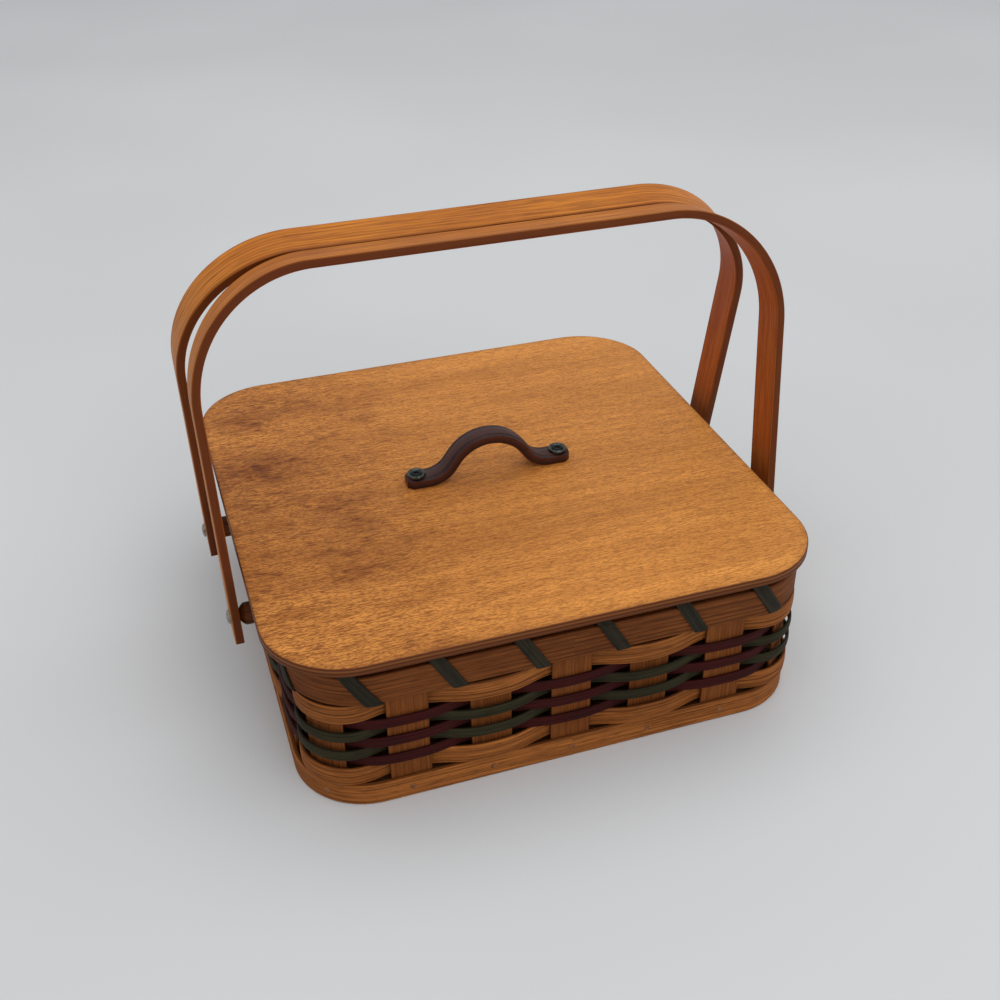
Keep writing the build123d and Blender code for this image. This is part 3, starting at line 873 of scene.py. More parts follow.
def leather_material(colours):
    """Rolled leather: pebbled top with a creased line, red-brown cut sides and a paler underside."""
    material, tree, shader = start_material("pull_leather")
    if tree is None:
        return material
    here = object_position(tree)
    pebbles = add(
        tree, "ShaderNodeTexVoronoi", {"Vector": here, "Scale": 1500.0}, feature="SMOOTH_F1"
    ).outputs["Distance"]
    creases = add(
        tree, "ShaderNodeTexNoise", {"Vector": here, "Scale": 420.0, "Detail": 5.0, "Roughness": 0.65}
    ).outputs["Fac"]
    stain = use_group(tree, stain_group(), Position=here, Patch_Length=0.012, Patch_Width=0.008)
    tone = mixed(tree, stain["Soft"], colours.leather_top, [c * 1.7 for c in colours.leather_top])
    # Painted shade towards the top's edges leaves a painted highlight along its middle.
    border = share(tree, mark_value(tree, "border"), 0.55)
    tone = mixed(tree, border, tone, LEATHER_PAINTED_SHEEN_EDGE)
    uneven = share(tree, stain["Mottled"], 0.6)
    cut = mixed(tree, uneven, colours.leather_side, colours.leather_top)
    # Painted shade on the lower part of each cut side, where it meets the lid or faces down.
    cut = mixed(tree, mark_value(tree, "low"), cut, LEATHER_PAINTED_SHADE_LOW)
    tone = mixed(tree, mark_value(tree, "narrow"), tone, cut)
    tone = mixed(tree, mark_value(tree, "back"), tone, colours.leather_under)
    tone = mixed(tree, share(tree, mark_value(tree, "groove"), 0.45), tone, LEATHER_CREASE)
    shade = share(tree, stretch_range(tree, creases, 0.35, 0.75), 0.5)
    tone = mixed(tree, shade, tone, LEATHER_THICK, "MULTIPLY")
    rough = plus(tree, 0.36, creases, 0.22)
    height = plus(tree, pebbles, creases, 0.8)
    finish_surface(tree, shader, tone, height, rough, 0.00015, 0.28)
    return material


def metal_material(name):
    """Plated or blackened metal, duller in patches and finely scratched."""
    material, tree, shader = start_material(name)
    if tree is None:
        return material
    bright, dull, roughness, metallic = METALS[name]
    here = object_position(tree)
    stain = use_group(tree, stain_group(), Position=here, Patch_Length=0.004, Patch_Width=0.004)
    scratches = use_group(tree, grain_group(), Position=here, Line_Length=0.006, Line_Width=0.0002)
    tone = mixed(tree, stain["Mottled"], bright, dull)
    rough = plus(tree, roughness, scratches["Lines"], 0.18)
    finish_surface(tree, shader, tone, scratches["Lines"], rough, 0.00002)
    shader.inputs["Metallic"].default_value = metallic
    return material


def floor_material(colours):
    """Pale matt paper floor."""
    material, tree, shader = start_material("floor_paper")
    if tree is None:
        return material
    stain = use_group(
        tree, stain_group(), Position=object_position(tree), Patch_Length=0.7, Patch_Width=0.7
    )
    paler = [min(1.0, c * 1.06) for c in colours.floor]
    tone = mixed(tree, stain["Soft"], colours.floor, paler)
    tree.links.new(tone, shader.inputs["Base Color"])
    shader.inputs["Roughness"].default_value = 0.85
    shader.inputs["Specular IOR Level"].default_value = 0.2
    return material


def natural_reed_with_painted_light(colours, part):
    """Stained reed of weavers, rim or band; the rim's tone holds painted shade, the band's painted light.
    """
    return reed_material(f"natural_{part}", getattr(colours, f"{part}_light"), colours.reed_dark)


# Operators, one for each piece or group of like pieces


class BASKET_OT_boards(Operator):
    """Gives the base board and the board under the lid their plywood finish"""

    bl_idname = "basket.boards"
    bl_label = "Boards"

    def execute(self, context):
        wood = plywood_material(context.scene.basket_colours)
        for node in ("base_board", "lid_locating_board"):
            refinish(node, wood)
        return {"FINISHED"}


class BASKET_OT_stakes(Operator):
    """Makes the upright splints, one slice of the wall's line each, with fibres running up them"""

    bl_idname = "basket.stakes"
    bl_label = "Stakes"
    rows: IntProperty(name="Rows", description="Steps up a stake", default=40, min=2)

    def execute(self, context):
        sizes = context.scene.basket_sizes
        colours = context.scene.basket_colours
        light, dark = colours.stake_light, colours.stake_dark
        wood = reed_material("stake_splint", light, dark, 0.0013, 0.58, 0.64)
        for index in range(STAKES):
            name = f"stake_{index + 1:02d}"
            low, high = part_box(name)
            mesh = self.stake_mesh(sizes, index, low.z, high.z)
            place(f"splint_upright_{index + 1:02d}", mesh, wood, "basket", "stake_splint", name)
        return {"FINISHED"}

    def stake_mesh(self, sizes, index, bottom, top):
        """wall_line(stake's run + across, depth) at even heights; grooves lower the face."""
        width, thickness = sizes.stake_width, sizes.stake_thickness
        across, depth, face = strip_outline(width, thickness, SPLINT_EDGE, 46, 10)
        height = np.linspace(bottom, top, self.rows)[:, None]
        seed = sizes.seed + 100 + index
        groove = fibres(height, across[None, :], sizes.fibre_gap * 0.8, WALL_RUN, seed)
        groove = groove * np.abs(face)[None, :]
        lift = np.sign(face)[None, :] * -0.6 * sizes.fibre_depth * groove
        sway = STAKE_SWAY * wander(height, 0.09, seed)
        x, y = wall_line(index * STAKE_PITCH + across[None, :] + sway, depth[None, :] + lift)
        points = np.stack([x, y, height + np.zeros_like(x)], axis=2)
        lengths = height[:, 0] + 0.53 * index
        rounds = outline_lengths(across, depth) + 0.11 * index
        marks = {"groove": groove, "narrow": 1.0 - np.abs(face)[None, :]}
        name = f"splint_{index + 1:02d}"
        return grid_mesh(name, points, lengths, rounds, wrap=(False, True), marks=marks)


class BASKET_OT_weavers(Operator):
    """Makes the weaving strips, which swing out over every other stake and in behind the rest"""

    bl_idname = "basket.weavers"
    bl_label = "Weavers"
    rows: IntProperty(name="Rows", description="Steps round the basket", default=768, min=96)

    def execute(self, context):
        sizes = context.scene.basket_sizes
        colours = context.scene.basket_colours
        finishes = {
            "splint_natural": natural_reed_with_painted_light(colours, "weaver"),
            "splint_maroon": reed_material("splint_maroon", colours.maroon_light, colours.maroon_dark),
            "splint_green": reed_material("splint_green", colours.green_light, colours.green_dark),
        }
        for row, (name, (slot, sign)) in enumerate(WEAVERS.items()):
            low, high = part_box(name)
            width = high.z - low.z
            face_steps = 46 if slot == "splint_natural" else 28
            reach = sign * getattr(sizes, SWINGS[slot])

            def swing(run, reach=reach):
                """Bulge over the stakes: a cosine with its crests flattened."""
                return reach * np.sin(1.15 * np.cos(math.pi * run / STAKE_PITCH)) / math.sin(1.15)

            mesh = wall_strip(
                f"reed_{name}",
                0.0,
                low.z,
                width,
                sizes.strip_thickness,
                SPLINT_EDGE,
                (self.rows, face_steps, 8),
                sizes.seed + row,
                crown=WEAVER_CROWN,
                swing=swing,
            )
            place(f"reed_{name}", mesh, finishes[slot], "basket", slot, name)
        return {"FINISHED"}


class BASKET_OT_rim(Operator):
    """Makes the two rim hoops and the round filler on top of the wall"""

    bl_idname = "basket.rim"
    bl_label = "Rim"

    def execute(self, context):
        sizes = context.scene.basket_sizes
        # The rim's reed is painted darker for the shade under the lid.
        reed = natural_reed_with_painted_light(context.scene.basket_colours, "rim")
        centre = sizes.stake_thickness / 2 + sizes.rim_gap + sizes.rim_thickness / 2
        for name, side, counts in (("rim_outer", 1, (560, 64, 8)), ("rim_inner", -1, (320, 24, 20))):
            low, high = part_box(name)
            mesh = wall_strip(
                f"{name}_hoop",
                side * centre,
                low.z,
                high.z - low.z,
                sizes.rim_thickness,
                RIM_EDGE,
                counts,
                sizes.seed + 20 + side,
            )
            place(f"{name}_hoop", mesh, reed, "basket", "splint_natural", name)
        low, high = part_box("rim_filler")
        radius = (high.z - low.z) / 2
        rows, steps = 480, 28
        run = np.linspace(0.0, WALL_RUN, rows, endpoint=False)[:, None]
        angle = np.linspace(0.0, 2 * math.pi, steps, endpoint=False)[None, :]
        groove = fibres(run, angle * radius, sizes.fibre_gap, WALL_RUN, sizes.seed + 25)
        reach = radius - 0.5 * sizes.fibre_depth * groove
        x, y = wall_line(run, reach * np.cos(angle))
        z = low.z + radius + reach * np.sin(angle)
        lengths = np.linspace(0.0, WALL_RUN, rows + 1) + 3.1
        rounds = np.linspace(0.0, 2 * math.pi * radius, steps + 1)
        marks = {"groove": groove, "narrow": 0.0}
        mesh = grid_mesh("rim_round_reed", np.stack([x, y, z], axis=2), lengths, rounds, marks=marks)
        place("rim_round_reed", mesh, reed, "basket", "splint_natural", "rim_filler")
        return {"FINISHED"}


class BASKET_OT_lashing(Operator):
    """Winds the dark lashing strip round the rim, one turn in each gap between stakes"""

    bl_idname = "basket.lashing"
    bl_label = "Lashing"
    turn_steps: IntProperty(name="Turn steps", description="Steps in one turn", default=96, min=24)

    def execute(self, context):
        sizes = context.scene.basket_sizes
        colours = context.scene.basket_colours
        reed = reed_material("lashing_green", colours.lashing_light, colours.lashing_dark, 0.0030, 0.7)
        run, out, height = self.path(sizes)
        lengths = np.concatenate(
            [[0.0], np.cumsum(np.sqrt(np.diff(run) ** 2 + np.diff(out) ** 2 + np.diff(height) ** 2))]
        )
        tangent_out, tangent_up = np.gradient(out), np.gradient(height)
        size = np.hypot(tangent_out, tangent_up) + 1e-12
        normal_out, normal_up = -tangent_up / size, tangent_out / size
        width, thickness = sizes.lashing_width, sizes.lashing_thickness
        across, depth, face = strip_outline(width, thickness, LASHING_EDGE, 24, 8)
        along, seed = lengths[:, None], sizes.seed + 40
        grooves = fibres(along, across[None, :], LASHING_FIBRE_GAP, lengths[-1], seed)
        front = np.clip(face, 0, 1)
        dome = LASHING_CROWN * np.clip(1 - (2 * across / width) ** 2, 0, 1) * front
        rise = depth[None, :] + dome[None, :] - LASHING_FIBRE_DEPTH * grooves * front[None, :]
        x, y = wall_line(run[:, None] + across[None, :], out[:, None] + rise * normal_out[:, None])
        z = height[:, None] + rise * normal_up[:, None]
        marks = {"groove": grooves, "narrow": 1.0 - np.abs(face)[None, :]}
        mesh = grid_mesh(
            "rim_lashing_reed",
            np.stack([x, y, z], axis=2),
            lengths,
            outline_lengths(across, depth),
            wrap=(False, True),
            marks=marks,
        )
        place("rim_lashing_reed", mesh, reed, "basket", "lashing_green", "rim_lashing")
        return {"FINISHED"}

    def path(self, sizes):
        """Middle of the strip as run, out and height.

        Its corners lie round the rim and filler, half a thickness out. It goes down outside at a slant,
        under the rim, straight up inside and over the filler while it runs on to the next turn. Even
        steps between corners are then averaged over a short length, which rounds the corners.
        """
        grow = sizes.lashing_gap + sizes.lashing_thickness / 2
        low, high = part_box("rim_outer")
        filler_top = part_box("rim_filler")[1].z
        side = sizes.stake_thickness / 2 + sizes.rim_gap + sizes.rim_thickness + grow
        bottom = low.z - grow
        shoulder = high.z + 0.001
        top = filler_top + grow
        half = sizes.lashing_top_half + grow * math.tan(math.pi / 8)
        slant, over = sizes.lashing_slant, sizes.lashing_top_run
        rise = STAKE_PITCH - slant - over
        stops = np.array([
            (0.0, side, shoulder),
            (slant, side, bottom),
            (slant, -side, bottom),
            (slant + rise, -side, shoulder),
            (slant + rise + over / 3, -half, top),
            (slant + rise + 2 * over / 3, half, top),
            (STAKE_PITCH, side, shoulder),
        ])
        spans = np.linalg.norm(np.diff(stops[:, 1:], axis=0), axis=1)
        passed = np.concatenate([[0.0], np.cumsum(spans)]) / spans.sum()
        step = np.arange(STAKES * self.turn_steps + 1) / self.turn_steps
        turn = np.minimum(np.floor(step), STAKES - 1)
        part = step - turn
        run = np.interp(part, passed, stops[:, 0]) + turn * STAKE_PITCH
        out = np.interp(part, passed, stops[:, 1])
        height = np.interp(part, passed, stops[:, 2])
        window = np.ones(5) / 5
        smooth = [
            np.concatenate([line[:2], np.convolve(line, window, mode="valid"), line[-2:]])
            for line in (run, out, height)
        ]
        smooth[0] += 0.5 * STAKE_PITCH - slant / 2
        return smooth


class BASKET_OT_band(Operator):
    """Makes the band round the foot of the wall and its nail heads"""

    bl_idname = "basket.band"
    bl_label = "Base band"

    def execute(self, context):
        sizes = context.scene.basket_sizes
        colours = context.scene.basket_colours
        low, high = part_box("base_band")
        mesh = wall_strip(
            "foot_band",
            sizes.stake_thickness / 2 + sizes.rim_gap + sizes.band_thickness / 2,
            low.z,
            high.z - low.z,
            sizes.band_thickness,
            BAND_EDGE,
            (520, 52, 8),
            sizes.seed + 60,
        )
        # The band's reed is painted lighter for light bounced up from the floor.
        reed = natural_reed_with_painted_light(colours, "band")
        place("foot_band", mesh, reed, "basket", "splint_natural", "base_band")
        brass = metal_material("nail_metal")
        place("foot_nails", self.nails(sizes), brass, "basket", "nail_metal", "band_nails")
        return {"FINISHED"}

    def nails(self, sizes):
        """A shallow dome at each stake: out = face + rise (1 - r^2), spread over a small circle."""
        face = sizes.stake_thickness / 2 + sizes.rim_gap + sizes.band_thickness
        nail = middle("band_nails").z
        radius, rise, sunk = 0.0017, 0.0005, 0.0006
        reach = np.array([0.0, 0.45, 0.7, 0.9, 1.0, 1.0, 0.0])[:, None]
        lift = np.array([0.5 * rise, 0.6 * rise, rise, 0.8 * rise, 0.2 * rise, -sunk, -sunk])[:, None]
        steps, grain_step = 16, 0.001
        angle = np.linspace(0.0, 2 * math.pi, steps, endpoint=False)[None, :]
        lengths = np.arange(len(reach)) * grain_step
        rounds = np.arange(steps + 1) * grain_step
        heads = []
        for index in range(STAKES):
            run = index * STAKE_PITCH + radius * reach * np.cos(angle)
            x, y = wall_line(run, face + lift + 0 * angle)
            z = nail + radius * reach * np.sin(angle)
            points = np.stack([x, y, z], axis=2)
            heads.append(grid_mesh("nail", points, lengths, rounds, wrap=(False, True)))
        return joined("foot_nails", heads)


class BASKET_OT_lid(Operator):
    """Makes the loose plywood lid with its softened edge and the lines between plies"""

    bl_idname = "basket.lid"
    bl_label = "Lid"
    rows: IntProperty(name="Rows", description="Steps round the lid", default=480, min=96)

    def execute(self, context):
        sizes = context.scene.basket_sizes
        wood = lid_material(context.scene.basket_colours)
        place("lid_plywood", self.lid_mesh(sizes), wood, "lid", "lid_wood", "lid_board")
        return {"FINISHED"}

    def lid_mesh(self, sizes):
        """Edge profile carried round a square with rounded corners, its faces drawn to the middle.

        A profile point is (inset, height): inset 0 is the edge. Round the lid the outline is
        straight + (corner - inset) (cos, sin), and past the corner radius it shrinks to the middle.
        """
        half = extent("lid_board").x / 2
        corner = sizes.lid_corner
        thick = extent("lid_board").z
        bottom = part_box("lid_board")[0].z
        edge = sizes.lid_edge_round
        quarter = np.linspace(0.0, math.pi / 2, 6)
        lower_inset, lower_height = edge - edge * np.sin(quarter), edge - edge * np.cos(quarter)
        side = np.linspace(edge, thick - edge, 22)[1:-1]
        level = side / thick
        ply = np.exp(-(((level - 0.68) / 0.11) ** 2)) + 0.45 * np.exp(-(((level - 0.28) / 0.07) ** 2))
        seam = np.minimum(np.abs(level - 0.42), np.abs(level - 0.88)) < 0.035
        flat = np.array([half, 0.75 * half, 0.5 * half, corner, 0.03, 0.012, 0.004])
        inset = np.concatenate([flat, lower_inset, 0.00018 * seam, lower_inset[::-1], flat[::-1]])
        under, over = np.zeros(len(flat)), np.full(len(flat), thick)
        height = np.concatenate([under, lower_height, side, thick - lower_height[::-1], over])
        lower_fade, upper_fade = [0, 0.3, 0.7, 1, 1, 1], [1, 1, 1, 0.8, 0.5, 0.2]
        narrow = np.concatenate([0 * flat, lower_fade, np.ones(len(side)), upper_fade, 0 * flat])
        plain = np.zeros(len(flat) + len(quarter))
        plies = np.concatenate([plain, ply, plain])
        straight = half - corner
        side_run = 2 * straight + corner * math.pi / 2
        run = (np.arange(self.rows) / self.rows * 4 * side_run)[:, None]
        side_index = np.floor((run + side_run / 2) / side_run)
        along = run - side_index * side_run
        bend = np.clip((np.abs(along) - straight) / corner, 0.0, None)
        reach = np.clip(corner - inset, 0.0, None)[None, :]
        shrink = np.clip((half - inset) / straight, 0.0, 1.0)[None, :]
        x = np.sign(along) * (np.minimum(np.abs(along), straight) * shrink + reach * np.sin(bend))
        y = -straight * shrink - reach * np.cos(bend)
        turn = side_index * math.pi / 2
        points = np.stack(
            [
                LID_MIDDLE.x + x * np.cos(turn) - y * np.sin(turn),
                LID_MIDDLE.y + x * np.sin(turn) + y * np.cos(turn),
                bottom + height[None, :] + np.zeros_like(x),
            ],
            axis=2,
        )
        lengths = np.linspace(0.0, 4 * side_run, self.rows + 1)
        rounds = np.concatenate([[0.0], np.cumsum(np.hypot(np.diff(inset), np.diff(height)))])
        marks = {"narrow": narrow[None, :], "ply": plies[None, :]}
        return grid_mesh("lid_plywood", points, lengths, rounds, wrap=(True, False), marks=marks)


class BASKET_OT_pull(Operator):
    """Makes the arched leather pull with its cup washers and socket screws"""

    bl_idname = "basket.pull"
    bl_label = "Leather pull"

    def execute(self, context):
        sizes = context.scene.basket_sizes
        leather = leather_material(context.scene.basket_colours)
        place("pull_strap", self.strap(sizes), leather, "lid", "pull_leather", "leather_pull")
        cups = joined("pull_cups", [self.cup(x) for x in self.screw_places()])
        place("pull_cups", cups, metal_material("dark_metal"), "lid", "dark_metal", "pull_cup_washers")
        screws = joined("pull_socket_screws", [self.screw(x) for x in self.screw_places()])
        black = metal_material("black_metal")
        place("pull_socket_screws", screws, black, "lid", "dark_metal", "pull_screws")
        return {"FINISHED"}

    def screw_places(self):
        """Both screws' X: the outer ends of the cup washers' box less their radius."""
        low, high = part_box("pull_cup_washers")
        radius = (high.y - low.y) / 2
        return low.x + radius, high.x - radius

    def strap(self, sizes):
        """Domed strip carried along flat feet, two slopes and a round crown.

        A point is line + depth x normal in the XZ plane, with across along Y. The half width falls in
        a straight line over the clipped corners, and two creases run beside the edges of the top.
        """
        box = extent("leather_pull")
        half, rise, width = box.x / 2, box.z, box.y
        slope = sizes.pull_slope
        peak = rise + sizes.pull_crown_bend * (1 / math.cos(slope) - 1)
        corner = (peak - sizes.pull_thickness) / math.tan(slope)
        base = sizes.pull_thickness
        line = [(-half, base), (-corner, base), (0.0, peak), (corner, base), (half, base)]
        bends = [sizes.pull_foot_bend, sizes.pull_crown_bend, sizes.pull_foot_bend]
        spine, tangent, lengths = bent_line(line, bends, 0.0007)
        across, depth, face = strip_outline(width, sizes.pull_thickness, PULL_EDGE, 52, 14)
        front = np.clip(face, 0.0, 1.0)
        inset, spread = 0.0022, 0.00045
        from_crease = np.abs(np.abs(across) - (width / 2 - inset)) / spread
        crease = np.exp(-(from_crease ** 2)) * front
        dome = sizes.pull_crown * (np.clip(1 - (2 * across / width) ** 2, 0, 1) - 1.0) * front
        sink = depth - sizes.pull_thickness / 2 + dome - sizes.pull_groove * crease
        from_end = np.minimum(lengths, lengths[-1] - lengths)
        squeeze = np.clip((width / 2 - sizes.pull_clip + from_end) / (width / 2), 0.0, 1.0)[:, None]
        normal = np.stack([-tangent[:, 1], tangent[:, 0]], axis=1)
        x = spine[:, 0, None] + normal[:, 0, None] * sink[None, :]
        z = spine[:, 1, None] + normal[:, 1, None] * sink[None, :]
        y = across[None, :] * squeeze
        points = np.stack([PULL_MIDDLE.x + x, PULL_MIDDLE.y + y, LID_TOP + z], axis=2)
        side = np.clip(1.0 - np.abs(face) * 1.3, 0.0, 1.0)
        marks = {
            "groove": crease[None, :],
            "narrow": side[None, :],
            "back": np.clip(-face, 0.0, 1.0)[None, :],
            # low: painted shade on the lower part of the sides.
            "low": (side * np.clip(0.6 - depth / sizes.pull_thickness, 0.0, 1.0))[None, :],
            # border: painted shade towards the top's edges, for a painted highlight along its middle.
            "border": (front * np.clip((np.abs(across) * 2 / width - 0.45) / 0.4, 0.0, 1.0))[None, :],
        }
        rounds = outline_lengths(across, depth)
        return grid_mesh("pull_strap", points, lengths, rounds, wrap=(False, True), marks=marks)

    def cup(self, x):
        """Cup washer: a rolled rim round a sloping dish, turned about the screw."""
        low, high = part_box("pull_cup_washers")
        radius, tall = (high.y - low.y) / 2, high.z - low.z
        profile = [
            (0.0, 0.0), (0.0, 0.98 * radius), (0.15 * tall, radius), (0.55 * tall, 0.99 * radius),
            (0.86 * tall, 0.94 * radius), (tall, 0.88 * radius), (0.97 * tall, 0.82 * radius),
            (0.80 * tall, 0.74 * radius), (0.55 * tall, 0.65 * radius), (0.40 * tall, 0.58 * radius),
            (0.35 * tall, 0.0),
        ]

        def placed(a, b, height):
            return np.stack([x + a, PULL_MIDDLE.y + b, low.z + height], axis=2)

        return turned_mesh("cup", profile, 40, 48, placed)

    def screw(self, x):
        """Screw head turned about Z: a low cylinder with a softened rim and a deep socket."""
        head, socket = SCREW_HEAD, SCREW_SOCKET
        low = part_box("pull_cup_washers")[0].z
        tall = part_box("pull_screws")[1].z - low
        profile = [
            (0.0, 0.0), (0.0, head), (0.75 * tall, head), (0.95 * tall, 0.93 * head),
            (tall, 0.82 * head), (tall, 1.25 * socket), (0.96 * tall, socket),
            (0.25 * tall, 0.92 * socket), (0.22 * tall, 0.0),
        ]

        def placed(a, b, height):
            return np.stack([x + a, PULL_MIDDLE.y + b, low + height], axis=2)

        return turned_mesh("screw", profile, len(profile), 48, placed)


class BASKET_OT_handles(Operator):
    """Makes the two bentwood handles, each a strip carried along a bow and leant on the other"""

    bl_idname = "basket.handles"
    bl_label = "Handles"

    def execute(self, context):
        sizes = context.scene.basket_sizes
        wood = handle_material(context.scene.basket_colours)
        for side, name in ((-1, "front"), (1, "rear")):
            mesh = self.bow(sizes, side, name)
            place(f"{name}_bow", mesh, wood, f"{name}_handle", "handle_wood", f"handle_{name}")
        return {"FINISHED"}

    def bow(self, sizes, side, name):
        """Bow in its own plane, turned about its pivot: y = w cos - h sin and z = w sin + h cos.

        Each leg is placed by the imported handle's widest point on its side, and the lean is such that the
        crest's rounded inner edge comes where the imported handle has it.
        """
        low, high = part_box(f"handle_{name}")
        pivot = Vector(JOINTS[f"{name}_handle_swing"]["pos_m"])
        reach = sizes.front_reach if name == "front" else sizes.rear_reach
        sway = sizes.front_sway if name == "front" else 0.0
        edge = sizes.handle_edge
        inner = abs((high.y if side < 0 else low.y) - pivot.y) - edge
        tall, wide = reach - edge, sizes.handle_width / 2 - edge
        angle = side * (math.asin(inner / math.hypot(tall, wide)) - math.atan2(wide, tall))
        bend, tail = sizes.handle_bend, sizes.handle_tail
        line = []
        for way, widest in ((-1, -low.x), (1, high.x)):
            slope = math.tan(sizes.handle_flare) + way * sway / reach
            at_pivot = widest - (reach - bend) * slope + bend * (math.hypot(1.0, slope) - 1)
            leg = [(way * (at_pivot - tail * slope), -tail), (way * (at_pivot + reach * slope), reach)]
            line += leg if way < 0 else leg[::-1]
        spine, tangent, lengths = bent_line(line, [bend] * 2, 0.0022)
        across, depth, face = strip_outline(sizes.handle_width, sizes.handle_thickness, edge, 24, 24)
        normal = np.stack([-tangent[:, 1], tangent[:, 0]], axis=1)
        sink = depth - sizes.handle_thickness / 2
        x = spine[:, 0, None] + normal[:, 0, None] * sink[None, :]
        up = spine[:, 1, None] + normal[:, 1, None] * sink[None, :]
        y = pivot.y + across[None, :] * math.cos(angle) - up * math.sin(angle)
        z = pivot.z + across[None, :] * math.sin(angle) + up * math.cos(angle)
        points = np.stack([x, y, z], axis=2)
        rim_start, rim_blend = 0.88, 0.07
        part_way = np.abs(across) * 2 / sizes.handle_width
        near_edge = np.clip((part_way - rim_start) / rim_blend, 0.0, 1.0)
        marks = {
            "narrow": np.clip(1.0 - np.abs(face) * 1.2, 0.0, 1.0)[None, :],
            "back": np.clip(-face, 0.0, 1.0)[None, :],
            "rim": (near_edge * np.abs(face))[None, :],
        }
        rounds = outline_lengths(across, depth) + 0.3 * (side + 1)
        return grid_mesh(f"{name}_bow", points, lengths, rounds, wrap=(False, True), marks=marks)


class BASKET_OT_pivots(Operator):
    """Makes the round wooden beads and the domed pivot bolts, and plates the washers and nuts"""

    bl_idname = "basket.pivots"
    bl_label = "Pivots"

    def execute(self, context):
        wood = bead_material()
        for node in SPACERS:
            place(f"bead_{node}", self.bead(node), wood, "basket", "spacer_wood", node)
        nickel = metal_material("nickel")
        bolts = [self.bolt(context.scene.basket_sizes, node) for node in SPACERS]
        bolts = joined("pivot_domed_bolts", bolts)
        place("pivot_domed_bolts", bolts, nickel, "basket", "nickel", "pivot_bolts")
        for node in ("pivot_washers", "pivot_nuts"):
            refinish(node, nickel)
        return {"FINISHED"}

    def bead(self, node):
        """Round bead turned about X: a ball's arc between flat ends, cut off at the bead's radius."""
        low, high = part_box(node)
        centre = (low + high) / 2
        long, radius = high.x - low.x, (high.z - low.z) / 2
        around = np.linspace(0.0, math.pi, 33)
        along = long / 2 * (1 - np.cos(around))
        ball = np.sqrt((long / 2) ** 2 + BEAD_END ** 2 - (along - long / 2) ** 2)
        profile = [(0.0, 0.0), *zip(along, np.minimum(ball, radius)), (long, 0.0)]

        def placed(a, b, height):
            return np.stack([low.x + height, centre.y + a, centre.z + b], axis=2)

        return turned_mesh("bead", profile, len(profile), 40, placed)

    def bolt(self, sizes, node):
        """Domed head and shank turned about X: the head is a flattened ball just outside the leg."""
        centre = middle(node)
        side = math.copysign(1.0, centre.x)
        pivot = JOINTS["front_handle_swing"]["pos_m"][2]
        head, dome = extent("pivot_bolts").z / 2, sizes.bolt_dome
        bead_end = abs(centre.x) + extent(node).x / 2
        start = bead_end + 2 * sizes.pivot_gap + sizes.handle_thickness
        tail = WALL_HALF - BOLT_TAIL
        rise = np.linspace(0.0, math.pi / 2, 9)
        profile = [(start + dome * math.cos(a), head * math.sin(a)) for a in rise]
        profile += [(start, BOLT_SHANK), (tail, BOLT_SHANK), (tail, 0.0)]

        def placed(a, b, height):
            return np.stack([side * height, centre.y + a, pivot + b], axis=2)

        return turned_mesh("bolt", profile, len(profile), 40, placed)


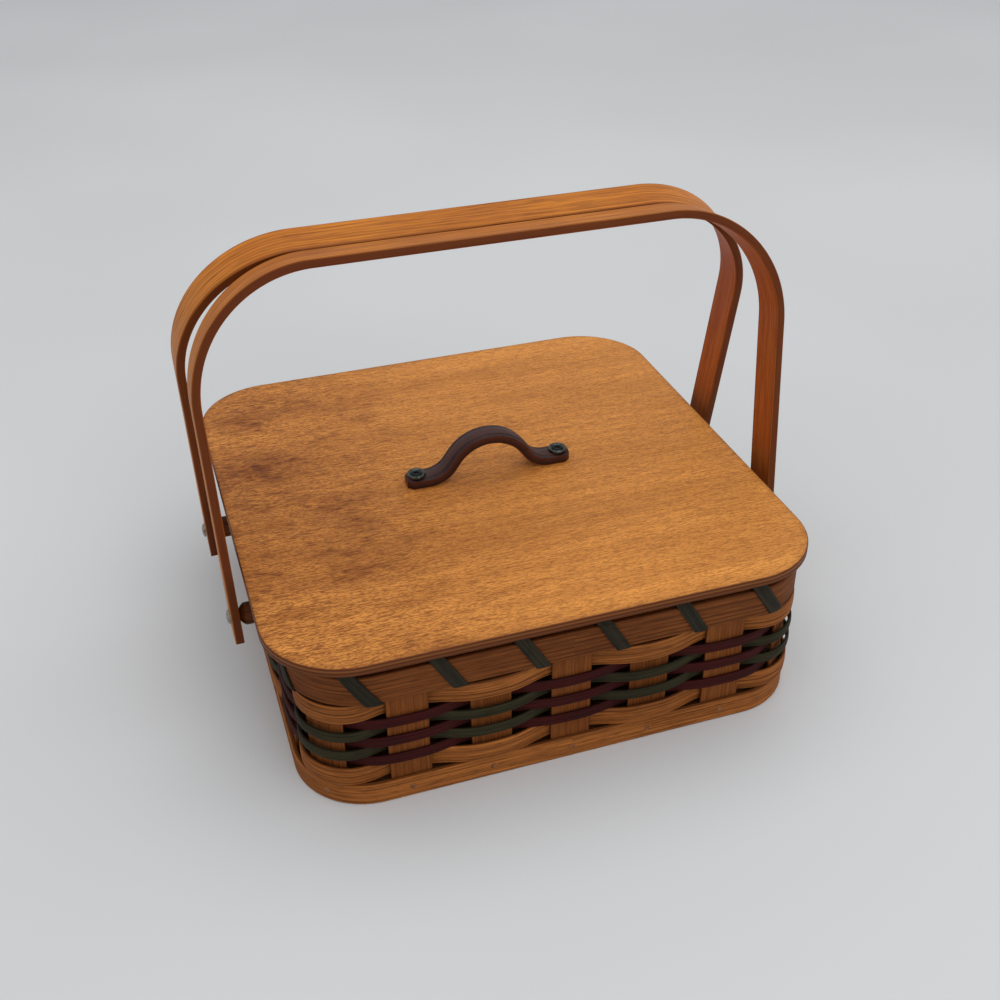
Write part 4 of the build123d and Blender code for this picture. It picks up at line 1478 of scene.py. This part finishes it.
class BASKET_OT_stage(Operator):
    """Sets the pale floor, the soft lamps and the camera"""

    bl_idname = "basket.stage"
    bl_label = "Stage"
    yaw: FloatProperty(name="Yaw", description="Camera's turn from +Y towards +X", default=18.05)
    pitch: FloatProperty(name="Pitch", description="Camera's tilt down", default=33.33)
    roll: FloatProperty(name="Roll", description="Camera's roll", default=-0.704)
    lens: FloatProperty(name="Lens", description="Focal length on a 36 mm sensor", default=45.04)

    def execute(self, context):
        self.floor(context)
        self.lamps(context)
        self.camera(context)
        context.scene.view_settings.view_transform = "Standard"
        return {"FINISHED"}

    def floor(self, context):
        """One large flat quad just under the basket."""
        reach, drop = 6.0, 0.0002
        mesh = bpy.data.meshes.new("floor")
        corners = [(reach * x, reach * y, -drop) for x, y in ((-1, -1), (1, -1), (1, 1), (-1, 1))]
        mesh.from_pydata(corners, [], [(0, 1, 2, 3)])
        mesh.materials.append(floor_material(context.scene.basket_colours))
        plane = bpy.data.objects.new("floor", mesh)
        context.scene.collection.objects.link(plane)

    def lamps(self, context):
        """A large softbox overhead, a little to the right, a weak fill in front and an even world."""
        for name, place_at, size, power in (
            ("softbox", (0.14, 0.04, 2.0), 2.4, 17.7),
            ("fill", (0.5, -2.0, 1.5), 2.0, 11.0),
        ):
            light = bpy.data.lights.new(name, "AREA")
            light.shape = "SQUARE"
            light.size = size
            light.energy = power
            lamp = bpy.data.objects.new(name, light)
            context.scene.collection.objects.link(lamp)
            lamp.location = place_at
            aim = Vector((0.0, 0.0, 0.08)) - Vector(place_at)
            lamp.rotation_mode = "QUATERNION"
            lamp.rotation_quaternion = aim.to_track_quat("-Z", "Y")
        world = context.scene.world or bpy.data.worlds.new("world")
        context.scene.world = world
        world.use_nodes = True
        background = world.node_tree.nodes["Background"]
        background.inputs["Color"].default_value = (0.95, 0.97, 1.0, 1.0)
        background.inputs["Strength"].default_value = 0.66

    def camera(self, context):
        """Camera at the photograph's place, seen from the middle of the lid's upper face."""
        yaw, pitch, roll = (math.radians(a) for a in (self.yaw, self.pitch, self.roll))
        flat = math.cos(pitch)
        ahead = Vector((math.sin(yaw) * flat, math.cos(yaw) * flat, -math.sin(pitch)))
        level = Vector((math.cos(yaw), -math.sin(yaw), 0.0))
        above = level.cross(ahead)
        right = level * math.cos(roll) + above * math.sin(roll)
        up = above * math.cos(roll) - level * math.sin(roll)
        data = bpy.data.cameras.new("camera")
        data.sensor_width = 36.0
        data.lens = self.lens
        camera = bpy.data.objects.new("camera", data)
        context.scene.collection.objects.link(camera)
        turn = Matrix((right, up, -ahead)).transposed().to_4x4()
        place_at = Vector((LID_MIDDLE.x + CAMERA_AWAY[0], CAMERA_AWAY[1], LID_TOP + CAMERA_AWAY[2]))
        camera.matrix_world = Matrix.Translation(place_at) @ turn
        context.scene.camera = camera


class BASKET_PT_pieces(Panel):
    """Lists the basket's pieces, sizes and colours"""

    bl_idname = "BASKET_PT_pieces"
    bl_label = "Woven Basket"
    bl_space_type = "VIEW_3D"
    bl_region_type = "UI"
    bl_category = "Basket"

    def draw(self, context):
        for operator in MAKERS:
            self.layout.operator(operator.bl_idname)
        for group in (context.scene.basket_sizes, context.scene.basket_colours):
            column = self.layout.column(align=True)
            for key in group.__annotations__:
                column.prop(group, key)


MAKERS = (
    BASKET_OT_boards,
    BASKET_OT_stakes,
    BASKET_OT_weavers,
    BASKET_OT_rim,
    BASKET_OT_lashing,
    BASKET_OT_band,
    BASKET_OT_lid,
    BASKET_OT_pull,
    BASKET_OT_handles,
    BASKET_OT_pivots,
    BASKET_OT_stage,
)
CLASSES = (BasketSizes, BasketColours, *MAKERS, BASKET_PT_pieces)


def register():
    """Registers the classes and hangs the sizes and colours on the scene."""
    for item in CLASSES:
        bpy.utils.register_class(item)
    bpy.types.Scene.basket_sizes = PointerProperty(type=BasketSizes)
    bpy.types.Scene.basket_colours = PointerProperty(type=BasketColours)


def unregister():
    """Takes the sizes, colours and classes away again."""
    del bpy.types.Scene.basket_colours
    del bpy.types.Scene.basket_sizes
    for item in reversed(CLASSES):
        bpy.utils.unregister_class(item)


def main():
    """Makes every piece in order."""
    register()
    for maker in MAKERS:
        getattr(bpy.ops.basket, maker.bl_idname.partition(".")[2])()


if __name__ == "__main__":
    main()
